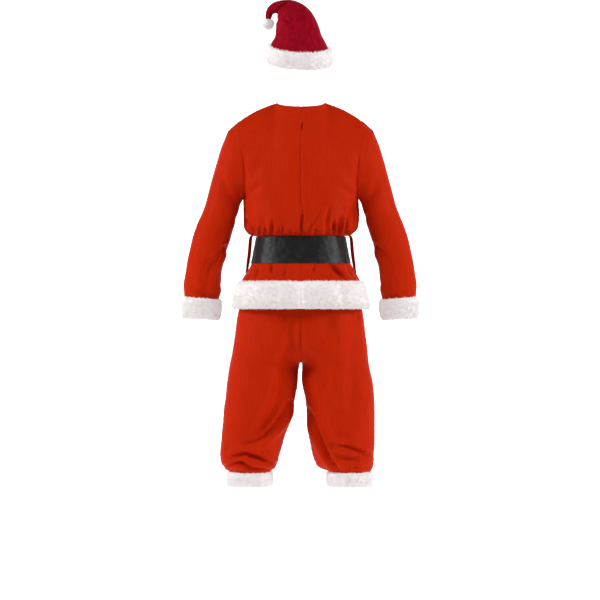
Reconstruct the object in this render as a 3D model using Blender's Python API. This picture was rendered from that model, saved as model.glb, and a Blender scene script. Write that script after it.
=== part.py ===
"""A worn costume suit: hat, belted jacket and knee breeches, as the pieces a maker sews together.

The frame is in metres with +Z up. The origin is the base of the neck, where the shoulders carry the
suit. The front faces -Y, the back +Y, and +X is the wearer's left. Sizes below are in millimetres.
Each garment is a surface worked out on a grid of rows and columns, and each cut piece is a stretch of
that grid given its wall.
"""

import bmesh
import bpy
import numpy as np

MM = 0.001

# Driving sizes, in millimetres
CLOTH_WALL = 2.0
SEAM_GAP = 0.3
ARMPIT_EASE = 0.6
LAY_GAP = 0.35
FUR_DEPTH = 15.0
LEG_FUR_DEPTH = 11.0
HAT_FUR_DEPTH = 16.0
BELT_WALL = 2.5
OVERLAP_RAISE = CLOTH_WALL + 0.8
PANEL_COLUMNS = 12
UPPER_ROWS = 9
ARMPIT_HEIGHT = -308.0
SHOULDER_TIP = (200.0, 5.0, -47.0)
NECK_SIDE = (80.0, -3.0, 12.0)
NECK_BACK = (0.0, 62.0, -6.0)
NECK_FRONT = (0.0, -84.0, -66.0)
NECK_SHARE = 0.34
BELT_TOP = -432.0
BELT_BOTTOM = -520.0
CROTCH_HEIGHT = -846.0
LOOP_WIDTH = 12.0
POMPOM_RADIUS = 21.0
POMPOM_CORE = 14.0
POMPOM_CENTRE = (108.0, 0.0, 272.0)


def table(columns, *rows):
    """Rows of numbers as one array for each named column."""
    return {name: np.array(values, float) for name, values in zip(columns.split(), zip(*rows))}


# The jacket below the armpit: a half width, and depths behind and before the side seams
JACKET_RINGS = table(
    "height wide back front",
    (-668, 217, 166, 160),
    (-655, 214, 162, 156),
    (-631, 209, 157, 151),
    (-606, 204, 151, 145),
    (-581, 198, 144, 138),
    (-556, 184, 133, 128),
    (-532, 169, 121, 117),
    (-520, 163, 116, 112),
    (-476, 154, 109, 106),
    (-432, 146, 103, 101),
    (-427, 159, 112, 109),
    (-417, 177, 124, 118),
    (-400, 187, 129, 123),
    (-372, 189, 129, 125),
    (-340, 190, 128, 125),
    (-308, 190, 126, 124),
)
CLOTH_ROWS_BELOW_FUR = 1
FUR_ROWS = 5
BELT_ROWS = (7, 8, 9)

# The armhole's edge from the armpit up to the shoulder tip, the depth before or behind the arm
ARMHOLE = table(
    "share out depth height",
    (0.0, 190, 0, -308),
    (0.12, 187, 42, -296),
    (0.3, 182, 72, -248),
    (0.5, 187, 77, -185),
    (0.7, 198, 66, -120),
    (0.88, 201, 32, -66),
    (1.0, 200, 5, -47),
)

# Gathers over the belt and folds in the skirt, as troughs at a share of the panel's width
GATHERS = {
    "back_left": table(
        "share depth top", (0.17, 6, -340), (0.42, 8, -350), (0.58, 7, -365), (0.83, 9, -330)
    ),
    "back_right": table(
        "share depth top",
        (0.17, 7, -350), (0.33, 8, -370), (0.5, 11, -360), (0.75, 12, -310), (0.92, 9, -330),
    ),
    "front_left": table("share depth top", (0.25, 7, -350), (0.5, 9, -345), (0.75, 8, -330)),
    "front_right": table(
        "share depth top", (0.25, 8, -355), (0.42, 7, -350), (0.67, 10, -340), (0.92, 8, -340)
    ),
}
SKIRT_FOLDS = {
    "back_left": table("share depth", (0.25, 4), (0.67, 5)),
    "back_right": table("share depth", (0.42, 7), (0.83, 5)),
    "front_left": table("share depth", (0.33, 5), (0.75, 5)),
    "front_right": table("share depth", (0.33, 5), (0.67, 6)),
}
TROUGH_WIDTH = 0.055

# The power that rounds a torso ring from an ellipse towards a box
ROUNDNESS = 0.9

# Sleeve sections from the armhole to the wrist: the inner and outer points, seen from behind
SLEEVE_SECTIONS = table(
    "inner_out inner_height outer_out outer_height middle depth",
    (192.5, -311, 240, -82, 0, 73),
    (195.5, -316, 263, -138, 0, 70),
    (199, -324, 281, -200, 2, 66),
    (205, -343, 299, -264, 3, 62),
    (213, -372, 320, -338, 4, 60),
    (228, -422, 342, -390, 5, 59),
    (240, -466, 357, -434, 4, 59),
    (249, -500, 368, -478, 0, 59),
    (258, -530, 376, -515, -4, 58),
    (263, -565, 382, -553, -9, 57),
    (264, -602, 388, -592, -15, 57),
    (271, -639, 386, -630, -21, 55),
    (273, -660, 386, -652, -24, 54),
    (275, -682, 386, -675, -27, 53),
    (278, -704, 385, -698, -30, 52),
)
SLEEVE_FUR_ROWS = 4
RIGHT_SLEEVE_REACH = 0.975

# Breeches sections: the outer and inner points of each leg, and depths of seat and front
LEG_SECTIONS = table(
    "height left_out left_in right_out right_in back front middle",
    (-541, 155, 0, 155, 0, 109, 106, 0),
    (-560, 164, 0, 164, 0, 116, 108, 0),
    (-590, 178, 0, 178, 0, 126, 114, 0),
    (-640, 197, 0, 196, 0, 136, 120, 0),
    (-700, 211, 0, 208, 0, 140, 122, 0),
    (-755, 218, 0, 213, 0, 138, 122, 0),
    (-800, 225, 0, 218, 0, 131, 120, 0),
    (-828, 230, 0, 220, 0, 125, 118, 0),
    (-846, 234, 3, 222, -3, 121, 116, 0),
    (-878, 239, 8, 228, -3, 117, 113, 0),
    (-917, 244, 13, 237, -7, 113, 111, 0),
    (-957, 248, 20, 241, -13, 110, 109, 0),
    (-1000, 254, 27, 244, -17, 107, 107, 0),
    (-1040, 257, 37, 244, -21, 104, 104, 0),
    (-1076, 261, 50, 244, -24, 101, 101, 0),
    (-1115, 264, 60, 244, -31, 97, 98, 0),
    (-1150, 267, 71, 242, -38, 93, 95, 0),
    (-1178, 263, 80, 240, -48, 88, 90, 0),
    (-1196, 248, 88, 234, -68, 76, 78, 0),
    (-1207, 236, 100, 229, -93, 68, 70, 0),
    (-1230, 236, 100, 229, -93, 67, 69, 0),
    (-1252, 236, 101, 228, -94, 66, 68, 0),
)
LEG_COLUMNS = 9
LEG_FUR_ROWS = 3

# The waist casing, whose top edge lies against the inside of the jacket
WAISTBAND_ROWS = table(
    "height wide back front",
    (-540.6, 155, 109, 106),
    (-522, 156.6, 110.2, 106.8),
    (-504, 157.1, 110.9, 107.3),
)

# Breeches folds, as troughs between two points seen from behind: out from the middle, and height
LEG_FOLDS = table(
    "side from_out from_height to_out to_height depth width",
    (1, 24, -968, 150, -1110, 9, 26),
    (1, 215, -1168, 120, -1148, 7, 16),
    (1, 60, -1020, 120, -1040, 4, 22),
    (-1, 34, -990, 130, -1200, 9, 26),
    (-1, 155, -1122, 238, -1144, 7, 20),
    (-1, 90, -1150, 200, -1172, 6, 16),
)

# Hat sections from the brim to the tail's end; roll and pitch tip each section, in degrees
HAT_SECTIONS = table(
    "out middle height wide deep roll pitch",
    (5, 4, 143, 97, 108, -3, -19),
    (5, 2, 160, 97, 108, -3, -19),
    (5, 0, 178, 96, 107, -3, -19),
    (5, -2, 196, 94, 105, -3, -18),
    (5, -3, 213, 86, 98, -2, -15),
    (7, -3, 235, 77, 90, 0, -10),
    (12, -2, 262, 70, 80, 6, -5),
    (24, -1, 290, 60, 68, 20, 0),
    (42, 0, 309, 48, 54, 42, 0),
    (62, 0, 320, 33, 38, 66, 0),
    (80, 0, 325, 21, 25, 88, 0),
    (96, 0, 319, 15, 18, 118, 0),
    (105, 0, 305, 12, 14, 152, 0),
    (108, 0, 286.6, 9, 10, 176, 0),
)
HAT_COLUMNS = 24
HAT_FUR_ROWS = 4

SUIT_RED = (0.50, 0.020, 0.006)
HAT_RED = (0.26, 0.0, 0.009)
FUR_WHITE = (0.86, 0.82, 0.82)
BELT_BLACK = (0.012, 0.012, 0.013)
BUCKLE_GOLD = (0.70, 0.52, 0.20)


def smooth(at, places, values):
    """Values read from a smooth curve through the rows of a table, with no overshoot."""
    order = np.argsort(places)
    x, y = places[order], values[order]
    slopes = np.diff(y) / np.diff(x)
    ends = np.empty_like(y)
    ends[0], ends[-1] = slopes[0], slopes[-1]
    product = slopes[:-1] * slopes[1:]
    total = slopes[:-1] + slopes[1:]
    ends[1:-1] = np.where(product > 0, 2 * product / np.where(total == 0, 1, total), 0)
    part = np.clip(np.searchsorted(x, at, side="right") - 1, 0, len(x) - 2)
    width = x[part + 1] - x[part]
    t = (at - x[part]) / width
    low = y[part] * (1 + 2 * t) * (1 - t) ** 2 + width * ends[part] * t * (1 - t) ** 2
    high = y[part + 1] * t**2 * (3 - 2 * t) - width * ends[part + 1] * t**2 * (1 - t)
    return low + high


def grid_normals(points, closed, outward):
    """Unit normals of a grid, from its rows and columns; outward is 1 or -1."""
    if closed:
        across = np.roll(points, -1, 1) - np.roll(points, 1, 1)
    else:
        across = np.gradient(points, axis=1)
    up = np.gradient(points, axis=0)
    normals = np.cross(across, up) * outward
    return normals / np.maximum(np.linalg.norm(normals, axis=2, keepdims=True), 1e-9)


def share_normals(grids):
    """Gives points that meet at a seam one common normal, the mean of theirs."""
    totals = {}
    for points, normals in grids:
        keys = map(tuple, np.round(points.reshape(-1, 3), 1).tolist())
        for key, normal in zip(keys, normals.reshape(-1, 3)):
            totals[key] = totals.get(key, 0) + normal
    shared = []
    for points, _ in grids:
        keys = map(tuple, np.round(points.reshape(-1, 3), 1).tolist())
        found = np.array([totals[key] for key in keys])
        found /= np.linalg.norm(found, axis=1, keepdims=True)
        shared.append(found.reshape(points.shape))
    return shared


def pull_back(layer, edges):
    """Moves the named edges of a layer in by half a seam gap, towards their neighbours."""
    moved = layer.copy()
    places = {"bottom": (0, 0, 1), "top": (0, -1, -2), "first": (1, 0, 1), "last": (1, -1, -2)}
    for edge in edges:
        axis, end, neighbour = places[edge]
        step = np.take(layer, neighbour, axis) - np.take(layer, end, axis)
        step *= SEAM_GAP / 2 / np.maximum(np.linalg.norm(step, axis=1, keepdims=True), 1e-6)
        if axis == 0:
            moved[end] += step
        else:
            moved[:, end] += step
    return moved


def material(name, colour, roughness, metallic=0.0):
    """A Principled material of one plain colour."""
    made = bpy.data.materials.new(name)
    made.use_nodes = True
    shader = made.node_tree.nodes["Principled BSDF"]
    shader.inputs["Base Color"].default_value = (*colour, 1.0)
    shader.inputs["Roughness"].default_value = roughness
    shader.inputs["Metallic"].default_value = metallic
    return made


def add_object(name, shape, finish):
    """Turns the mesh's faces outward, smooths it and links it as a named object in metres."""
    bmesh.ops.recalc_face_normals(shape, faces=shape.faces)
    bmesh.ops.scale(shape, vec=(MM, MM, MM), verts=shape.verts)
    mesh = bpy.data.meshes.new(name)
    shape.to_mesh(mesh)
    shape.free()
    mesh.shade_smooth()
    mesh.set_sharp_from_angle(angle=0.7)
    mesh.materials.append(material(name, *finish))
    bpy.context.scene.collection.objects.link(bpy.data.objects.new(name, mesh))


def add_wall(name, outer, inner, finish, closed=False, capped=False):
    """A closed wall between an outer and an inner layer of points with the same rows and columns.

    A closed grid joins its last column to its first; a capped one ends in a pole at its last row.
    """
    rows, columns = outer.shape[:2]
    shape = bmesh.new()
    layers = []
    for layer in (outer, inner):
        layers.append([[shape.verts.new(point) for point in row] for row in layer])
    steps = columns if closed else columns - 1
    for layer in layers:
        for row in range(rows - 1):
            above = row + 1
            for column in range(steps):
                after = (column + 1) % columns
                near = (layer[row][column], layer[row][after])
                shape.faces.new(near + (layer[above][after], layer[above][column]))
    rims = []
    if closed:
        rims.append([(0, column) for column in range(columns)])
        if not capped:
            rims.append([(rows - 1, column) for column in range(columns)])
    else:
        low = [(0, column) for column in range(columns)]
        right = [(row, columns - 1) for row in range(1, rows)]
        high = [(rows - 1, column) for column in range(columns - 2, -1, -1)]
        left = [(row, 0) for row in range(rows - 2, 0, -1)]
        rims.append(low + right + high + left)
    for rim in rims:
        for (row, column), (next_row, next_column) in zip(rim, rim[1:] + rim[:1]):
            near, far = layers[0][row][column], layers[0][next_row][next_column]
            under_far, under_near = layers[1][next_row][next_column], layers[1][row][column]
            shape.faces.new((near, far, under_far, under_near))
    if capped:
        for layer, points in zip(layers, (outer, inner)):
            pole = shape.verts.new(points[-1].mean(0))
            for column in range(columns):
                shape.faces.new((layer[-1][column], layer[-1][(column + 1) % columns], pole))
    add_object(name, shape, finish)


def bulge(rows, depth, edge_share=0.45):
    """The thickness of a fur strip on each of its rows: full in the middle, less at its edges."""
    across = np.linspace(-1, 1, rows)
    return depth * (edge_share + (1 - edge_share) * np.sqrt(1 - across**2))[:, None, None]


def add_fur(name, points, normals, depth, edges=(), closed=False):
    """A fur strip on a stretch of cloth: its points moved out, with a rounded back."""
    inner = points + normals * LAY_GAP
    outer = points + normals * (LAY_GAP + bulge(len(points), depth))
    finish = (FUR_WHITE, 1.0)
    add_wall(name, pull_back(outer, edges), pull_back(inner, edges), finish, closed)


def troughs(shares, places, depths):
    """The depth of narrow troughs at the named shares of a panel's width."""
    apart = (shares[None, :] - places[:, None]) / TROUGH_WIDTH
    return np.exp(-(apart**2)) * depths[:, None]


def lower_panel(side, face, name):
    """The panel below the armpit, from the hem up: a quarter of each ring, then its folds."""
    shares = np.linspace(0, 1, PANEL_COLUMNS + 1)
    heights = JACKET_RINGS["height"]
    wide = JACKET_RINGS["wide"][:, None]
    deep = JACKET_RINGS["back" if face > 0 else "front"][:, None]
    angle = shares * np.pi / 2
    across = np.sin(angle) ** ROUNDNESS
    along = np.cos(angle) ** ROUNDNESS
    gathers, folds = GATHERS[name], SKIRT_FOLDS[name]
    inward = np.zeros((len(heights), len(shares)))
    rise = (heights[:, None] - gathers["top"][None, :]) / (-415 - gathers["top"][None, :])
    strength = np.clip(rise, 0, 1) * np.clip((heights[:, None] - BELT_TOP) / 12, 0, 1)
    inward += strength @ troughs(shares, gathers["share"], gathers["depth"])
    fall = np.clip((BELT_BOTTOM - heights) / 50, 0, 1)[:, None]
    inward += fall * troughs(shares, folds["share"], folds["depth"]).sum(0)
    inward *= np.sin(np.pi * np.clip(shares, 0.0, 1.0)) ** 0.25 * (shares < 0.99) * (shares > 0.01)
    x = side * (wide - inward) * across
    y = face * (deep - inward) * along
    z = np.broadcast_to(heights[:, None], x.shape)
    return np.stack([x, y, z], 2)


def top_edge(side, face):
    """The panel's top edge: a quarter of the neckline, then the straight shoulder seam."""
    shares = np.linspace(0, 1, PANEL_COLUMNS + 1)
    middle = np.array(NECK_BACK if face > 0 else NECK_FRONT)
    neck, tip = np.array(NECK_SIDE), np.array(SHOULDER_TIP)
    turn = np.clip(shares / NECK_SHARE, 0, 1) * np.pi / 2
    run = np.clip((shares - NECK_SHARE) / (1 - NECK_SHARE), 0, 1)[:, None]
    round_part = np.stack([neck[0] * np.sin(turn), np.cos(turn), np.cos(turn)], 1)
    round_part[:, 1] = neck[1] + (middle[1] - neck[1]) * round_part[:, 1]
    round_part[:, 2] = neck[2] + (middle[2] - neck[2]) * round_part[:, 2]
    edge = round_part + (tip - neck) * run
    edge[:, 2] += 6 * np.sin(np.pi * run[:, 0]) * (run[:, 0] > 0)
    return edge * (side, 1, 1)


def armhole_edge(side, face):
    """The panel's armhole edge from the armpit to the shoulder tip, read from its table."""
    shares = np.linspace(0, 1, UPPER_ROWS + 1)
    read = {key: smooth(shares, ARMHOLE["share"], ARMHOLE[key]) for key in ("out", "depth", "height")}
    out, depth, height = read.values()
    towards_tip = shares**3 * SHOULDER_TIP[1]
    y = face * (depth - towards_tip) + towards_tip * (face < 0)
    y[shares == 1] = SHOULDER_TIP[1]
    return np.stack([side * out, y, height], 1)


def middle_edge(face):
    """The centre line from the armpit's height up to the neck, over the shoulder blades or chest."""
    shares = np.linspace(0, 1, UPPER_ROWS + 1)
    middle = NECK_BACK if face > 0 else NECK_FRONT
    low = JACKET_RINGS["back" if face > 0 else "front"][-1]
    height = ARMPIT_HEIGHT + (middle[2] - ARMPIT_HEIGHT) * shares
    depth = low + (abs(middle[1]) - low) * shares**2.4
    return np.stack([np.zeros_like(height), face * depth, height], 1)


def upper_panel(side, face, low):
    """The panel above the armpit: a blend of its four edges, then relaxed inside them."""
    top, outer, middle = top_edge(side, face), armhole_edge(side, face), middle_edge(face)
    up = np.linspace(0, 1, UPPER_ROWS + 1)[:, None, None]
    across = np.linspace(0, 1, PANEL_COLUMNS + 1)[None, :, None]
    corners = (1 - up) * (1 - across) * low[0] + (1 - up) * across * low[-1]
    corners = corners + up * (1 - across) * top[0] + up * across * top[-1]
    blend = (1 - up) * low[None] + up * top[None] + (1 - across) * middle[:, None] + across * outer[:, None]
    grid = blend - corners
    for _ in range(2):
        around = grid[:-2, 1:-1] + grid[2:, 1:-1] + grid[1:-1, :-2] + grid[1:-1, 2:]
        grid[1:-1, 1:-1] = around / 4
    return grid


def jacket_panel(side, face, name):
    """The whole panel, from the row below the hem up to the neckline and shoulder seam."""
    lower = lower_panel(side, face, name)
    upper = upper_panel(side, face, lower[-1])
    return np.concatenate([lower, upper[1:]])


def sleeve_grid(side, back, front):
    """The sleeve from the armhole down: the armhole's own points, then its table's sections."""
    hole_back, hole_front = back[-UPPER_ROWS - 1:, -1], front[-UPPER_ROWS - 1:, -1]
    hole = np.concatenate([hole_back, hole_front[-2:0:-1]])
    turn = np.arange(2 * UPPER_ROWS) * np.pi / UPPER_ROWS
    reach = 1.0 if side > 0 else RIGHT_SLEEVE_REACH
    start = SHOULDER_TIP[0] - 10
    rows = [hole]
    half_height = (SHOULDER_TIP[2] - ARMPIT_HEIGHT) / 2
    down = (SHOULDER_TIP[2] - half_height - hole[:, 2]) / half_height
    behind = hole[:, 1] / ARMHOLE["depth"].max()
    sections = zip(*SLEEVE_SECTIONS.values())
    for number, (inner_x, inner_z, outer_x, outer_z, middle, depth) in enumerate(sections):
        like_hole = max(0.0, 1 - number / 5)
        cosine = like_hole * down + (1 - like_hole) * np.cos(turn)
        sine = like_hole * behind + (1 - like_hole) * np.sin(turn)
        inner = np.array([start + (inner_x - start) * reach, middle, inner_z])
        outer = np.array([start + (outer_x - start) * reach, middle, outer_z])
        ring = (inner + outer) / 2 + cosine[:, None] * (inner - outer) / 2
        ring = ring + sine[:, None] * np.array([0, depth, 0])
        rows.append(ring * (side, 1, 1))
    return np.array(rows)


def leg_panel(side, face):
    """A breeches panel from the hem up: part of an oval that moves out from the middle to the leg."""
    sections = LEG_SECTIONS
    order = slice(None, None, -1)
    out = sections["left_out" if side > 0 else "right_out"][order]
    inner = sections["left_in" if side > 0 else "right_in"][order] * side
    deep = sections["back" if face > 0 else "front"][order]
    heights = sections["height"][order]
    drop = np.clip((heights + 560) / (CROTCH_HEIGHT + 560), 0, 1)
    own = heights <= CROTCH_HEIGHT
    centre = np.where(own, (out + inner) / 2, out / 2 * drop**2.5)
    half = out - centre
    start = np.where(own, 0.0, np.arccos(np.clip(centre / half, -1, 1)))
    share = np.linspace(0, 1, LEG_COLUMNS + 1)
    turn = start[:, None] + (np.pi - start[:, None]) * share
    x = side * (centre[:, None] - half[:, None] * np.cos(turn))
    x[:, 0] = np.where(own, x[:, 0], 0.0)
    y = face * deep[:, None] * np.sin(turn)
    y[:, -1] = 0.0
    z = np.broadcast_to(heights[:, None], x.shape).copy()
    crotch = np.flatnonzero(own)[-1]
    x[crotch, 0] = 0.0
    y[own, 0] = 0.0
    return np.stack([x, y, z], 2)


def fold_depth(points, side):
    """How far the breeches' folds press a point in, by its distance from each fold's line."""
    total = np.zeros(points.shape[:2])
    seen = np.stack([points[..., 0] * side, points[..., 2]], 2)
    for fold_side, from_x, from_z, to_x, to_z, depth, width in zip(*LEG_FOLDS.values()):
        if fold_side != side:
            continue
        start, run = np.array([from_x, from_z]), np.array([to_x - from_x, to_z - from_z])
        along = np.clip(((seen - start) @ run) / (run @ run), 0, 1)
        apart = np.linalg.norm(seen - start - along[..., None] * run, axis=2)
        total += depth * np.exp(-((apart / width) ** 2)) * np.sin(np.pi * (0.15 + 0.7 * along))
    return total


def make_jacket():
    """Two back and two front panels, the sleeves, the fur hem and the fur cuffs."""
    finish = (SUIT_RED, 0.6)
    sides = {"left": 1, "right": -1}
    grids = {}
    for face_name, face in (("back", 1), ("front", -1)):
        for side_name, side in sides.items():
            name = f"{face_name}_{side_name}"
            grids[name] = (jacket_panel(side, face, name), False, side * face)
    for side_name, side in sides.items():
        sleeve = sleeve_grid(side, grids[f"back_{side_name}"][0], grids[f"front_{side_name}"][0])
        grids[f"sleeve_{side_name}"] = (sleeve, True, -side)
    normals = jacket_normals(grids)
    base = {name: (grid[0], normals[name]) for name, grid in grids.items()}
    for name in ("back_left", "back_right", "front_right", "front_left"):
        points, away = base[name]
        edges = ("first", "last", "top")
        fur_start = 0
        if name == "front_left":
            points, away = overlapped(points, away)
            edges = ("last", "top")
        if name == "front_right":
            fur_start = 1
        cloth, cloth_away = points[CLOTH_ROWS_BELOW_FUR:], away[CLOTH_ROWS_BELOW_FUR:]
        inner = cloth - cloth_away * CLOTH_WALL
        add_wall(f"jacket_{name}", pull_back(cloth, edges), pull_back(inner, edges), finish)
        strip, strip_away = points[:FUR_ROWS, fur_start:], away[:FUR_ROWS, fur_start:]
        add_fur(f"hem_fur_{name}", strip, strip_away, FUR_DEPTH, ("first", "last"))
    ease = ARMPIT_EASE * (0.5 + 0.5 * np.cos(np.arange(2 * UPPER_ROWS) * np.pi / UPPER_ROWS))
    for side_name, side in sides.items():
        points, away = base[f"sleeve_{side_name}"]
        points[0, :, 0] += side * ease
        inner = points - away * CLOTH_WALL
        cloth = slice(0, -1)
        outer_layer = pull_back(points, ("bottom",))
        inner_layer = pull_back(inner, ("bottom",))
        add_wall(f"sleeve_{side_name}", outer_layer[cloth], inner_layer[cloth], finish, closed=True)
        wrist = slice(-SLEEVE_FUR_ROWS, None)
        add_fur(f"cuff_fur_{side_name}", points[wrist], away[wrist], FUR_DEPTH - 2, (), True)
    return base


def jacket_normals(grids):
    """Normals shared at every seam but near the armpit, where sleeve and panel fold apart."""
    found = [(points, grid_normals(points, closed, -outward)) for points, closed, outward in grids.values()]
    shared = dict(zip(grids, share_normals(found)))
    panels = [name for name in grids if "sleeve" not in name]
    own = dict(zip(panels, share_normals(found[: len(panels)])))
    own.update(zip(list(grids)[len(panels):], (normals for _, normals in found[len(panels):])))
    climb = np.clip(np.arange(UPPER_ROWS + 1) / 3, 0, 1)[:, None]
    round_hole = np.concatenate([climb, climb[-2:0:-1]])
    for name, normals in shared.items():
        if name in panels:
            hole = (slice(-UPPER_ROWS - 1, None), -1)
            normals[hole] = normals[hole] * climb + own[name][hole] * (1 - climb)
            normals[: -UPPER_ROWS - 1, -1] = own[name][: -UPPER_ROWS - 1, -1]
        else:
            normals[0] = normals[0] * round_hole + own[name][0] * (1 - round_hole)
        normals /= np.linalg.norm(normals, axis=2, keepdims=True)
    return shared


def overlapped(points, normals):
    """The left front with one more column past the middle, raised where it lies over the right."""
    mirror = (-1, 1, 1)
    wider = np.concatenate([points[:, 1:2] * mirror, points], 1)
    away = np.concatenate([normals[:, 1:2] * mirror, normals], 1)
    raised = np.zeros(wider.shape[1])
    raised[:4] = (1, 1, 1, 0.5)
    return wider + away * (raised * OVERLAP_RAISE)[None, :, None], away


def belt_surface(base):
    """The jacket's points under the belt, all round from the front middle, raised at the overlap."""
    order = (("front_left", 1), ("back_left", -1), ("back_right", 1), ("front_right", -1))
    points, normals = [], []
    for name, step in order:
        rows = list(BELT_ROWS)
        grid, away = base[name][0][rows][:, ::step], base[name][1][rows][:, ::step]
        keep = slice(None) if name == "front_left" else slice(1, None)
        points.append(grid[:, keep])
        normals.append(away[:, keep])
    points, normals = np.concatenate(points, 1), np.concatenate(normals, 1)
    raised = np.zeros(points.shape[1])
    raised[:5] = raised[-5:][::-1] = (1, 1, 1, 1, 0.5)
    return points + normals * (LAY_GAP + raised * (OVERLAP_RAISE + 0.1))[None, :, None], normals


def make_belt(base):
    """The strap, its frame buckle and prong, and a loop at each side seam."""
    inner, away = belt_surface(base)
    outer = inner + away * BELT_WALL
    ends = ("first", "last")
    add_wall("belt", pull_back(outer, ends), pull_back(inner, ends), (BELT_BLACK, 0.4))
    make_buckle(outer)
    for name, side in (("left", 1), ("right", -1)):
        make_loop(name, side, base)


def make_buckle(strap):
    """A frame that follows the strap's front, and a prong across it."""
    low, high = strap[0], strap[-1]
    half_wide, half_high, bar, deep = 40.0, 41.0, 8.0, 4.0
    middle = (BELT_TOP + BELT_BOTTOM) / 2

    def on_strap(x, z, lift):
        """The point in front of the strap's surface at x and z."""
        share = (z - BELT_BOTTOM) / (BELT_TOP - BELT_BOTTOM)
        near = np.argsort(np.abs(low[:, 0]) + 1000 * (low[:, 1] > 0))[:9]
        order = near[np.argsort(low[near, 0])]
        bottom = np.interp(x, low[order, 0], low[order, 1])
        top = np.interp(x, high[order, 0], high[order, 1])
        return np.stack([x, bottom + (top - bottom) * share - lift, z], -1)

    def outline(wide, tall, lift):
        """A rounded rectangle of 32 points on the strap."""
        turn = np.arange(32) * np.pi / 16
        x = wide * np.sign(np.cos(turn)) * np.abs(np.cos(turn)) ** 0.3
        z = middle + tall * np.sign(np.sin(turn)) * np.abs(np.sin(turn)) ** 0.3
        return on_strap(x, z, lift)

    near, far = LAY_GAP + 0.6, LAY_GAP + 0.6 + deep
    outer = np.array([outline(half_wide, half_high, lift) for lift in (near, far)])
    inner = np.array([outline(half_wide - bar, half_high - bar, lift) for lift in (near, far)])
    add_wall("buckle_frame", outer, inner, (BUCKLE_GOLD, 0.3, 1.0), closed=True)
    x = np.linspace(-half_wide + 2, half_wide - 2, 7)
    tall = np.array([-3.0, 3.0])
    front = np.array([on_strap(x, middle + z + 0 * x, far + LAY_GAP + 3) for z in tall])
    back = np.array([on_strap(x, middle + z + 0 * x, far + LAY_GAP) for z in tall])
    add_wall("buckle_prong", front, back, (BUCKLE_GOLD, 0.3, 1.0))


def make_loop(name, side, base):
    """A strip of cloth that stands off the belt and is sewn down above and below it."""
    seam = base[f"back_{name}"][0][:, -1]
    heights, reach = seam[: len(JACKET_RINGS["height"]), 2], np.abs(seam[: len(JACKET_RINGS["height"]), 0])

    def against(height):
        """Just outside the side seam at a height."""
        return np.interp(height, heights, reach) + LAY_GAP + 0.3

    path = np.array([
        (against(-424), -424), (against(-428) + 5, -432), (169, -446), (172, -464), (174, -482),
        (176, -504), (178, -524), (against(-541) + 1.5, -538), (against(-552), -552),
    ])
    run = np.gradient(path, axis=0)
    out = np.stack([-run[:, 1], run[:, 0]], 1) / np.linalg.norm(run, axis=1, keepdims=True)
    ends = np.array([-LOOP_WIDTH / 2, LOOP_WIDTH / 2])
    layers = []
    for lift in (CLOTH_WALL, 0.0):
        line = path + out * lift
        flat = np.stack([side * line[:, 0], 0 * line[:, 0], line[:, 1]], 1)
        layers.append(flat + np.array([[[0, y, 0]] for y in ends]))
    add_wall(f"belt_loop_{name}", layers[0], layers[1], (SUIT_RED, 0.6))


def make_breeches():
    """Four leg panels, the waist casing and the fur cuffs of the legs."""
    finish = (SUIT_RED, 0.6)
    grids, signs = {}, {}
    for face_name, face in (("back", 1), ("front", -1)):
        for side_name, side in (("left", 1), ("right", -1)):
            grids[f"{face_name}_{side_name}"] = leg_panel(side, face)
            signs[f"{face_name}_{side_name}"] = (side, face)
    found = []
    for name, grid in grids.items():
        side, face = signs[name]
        found.append((grid, grid_normals(grid, False, -side * face)))
    normals = dict(zip(grids, share_normals(found)))
    cloth_start = 1
    for name, grid in grids.items():
        side, _ = signs[name]
        away = normals[name]
        pressed = grid - away * fold_depth(grid, side)[..., None]
        pressed[:, (0, -1)] = grid[:, (0, -1)]
        pressed[: LEG_FUR_ROWS] = grid[: LEG_FUR_ROWS]
        inner = pressed - away * CLOTH_WALL
        edges = ("first", "last")
        outer_layer, inner_layer = pull_back(pressed, edges), pull_back(inner, edges)
        add_wall(f"trousers_{name}", outer_layer[cloth_start:], inner_layer[cloth_start:], finish)
    for side_name in ("left", "right"):
        front, back = f"front_{side_name}", f"back_{side_name}"
        rows = slice(0, LEG_FUR_ROWS)
        points = np.concatenate([grids[back][rows], grids[front][rows][:, -2:0:-1]], 1)
        away = np.concatenate([normals[back][rows], normals[front][rows][:, -2:0:-1]], 1)
        add_fur(f"leg_fur_{side_name}", points, away, LEG_FUR_DEPTH, (), True)
    make_waistband()


def make_waistband():
    """The elastic casing on top of the breeches, all round."""
    turn = np.arange(48) * np.pi / 24
    rows = []
    for height, wide, back, front in zip(*WAISTBAND_ROWS.values()):
        x = wide * np.sign(np.cos(turn)) * np.abs(np.cos(turn)) ** ROUNDNESS
        deep = np.where(np.sin(turn) > 0, back, front)
        y = deep * np.sign(np.sin(turn)) * np.abs(np.sin(turn)) ** ROUNDNESS
        rows.append(np.stack([x, y, np.full_like(x, height)], 1))
    outer = np.array(rows)
    inner = outer - grid_normals(outer, True, 1) * CLOTH_WALL
    add_wall("waistband", outer, inner, (SUIT_RED, 0.6), closed=True)


def hat_grid():
    """The crown's rings from the brim to the tail's end, each tipped by its roll and pitch."""
    turn = np.arange(HAT_COLUMNS) * 2 * np.pi / HAT_COLUMNS
    rows = []
    for x, y, z, wide, deep, roll, pitch in zip(*HAT_SECTIONS.values()):
        roll, pitch = np.radians(roll), np.radians(pitch)
        across = np.array([np.cos(roll), 0, -np.sin(roll)])
        along = np.array([0, np.cos(pitch), np.sin(pitch)])
        ring = np.array([x, y, z]) + wide * np.cos(turn)[:, None] * across
        rows.append(ring + deep * np.sin(turn)[:, None] * along)
    return np.array(rows)


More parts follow.
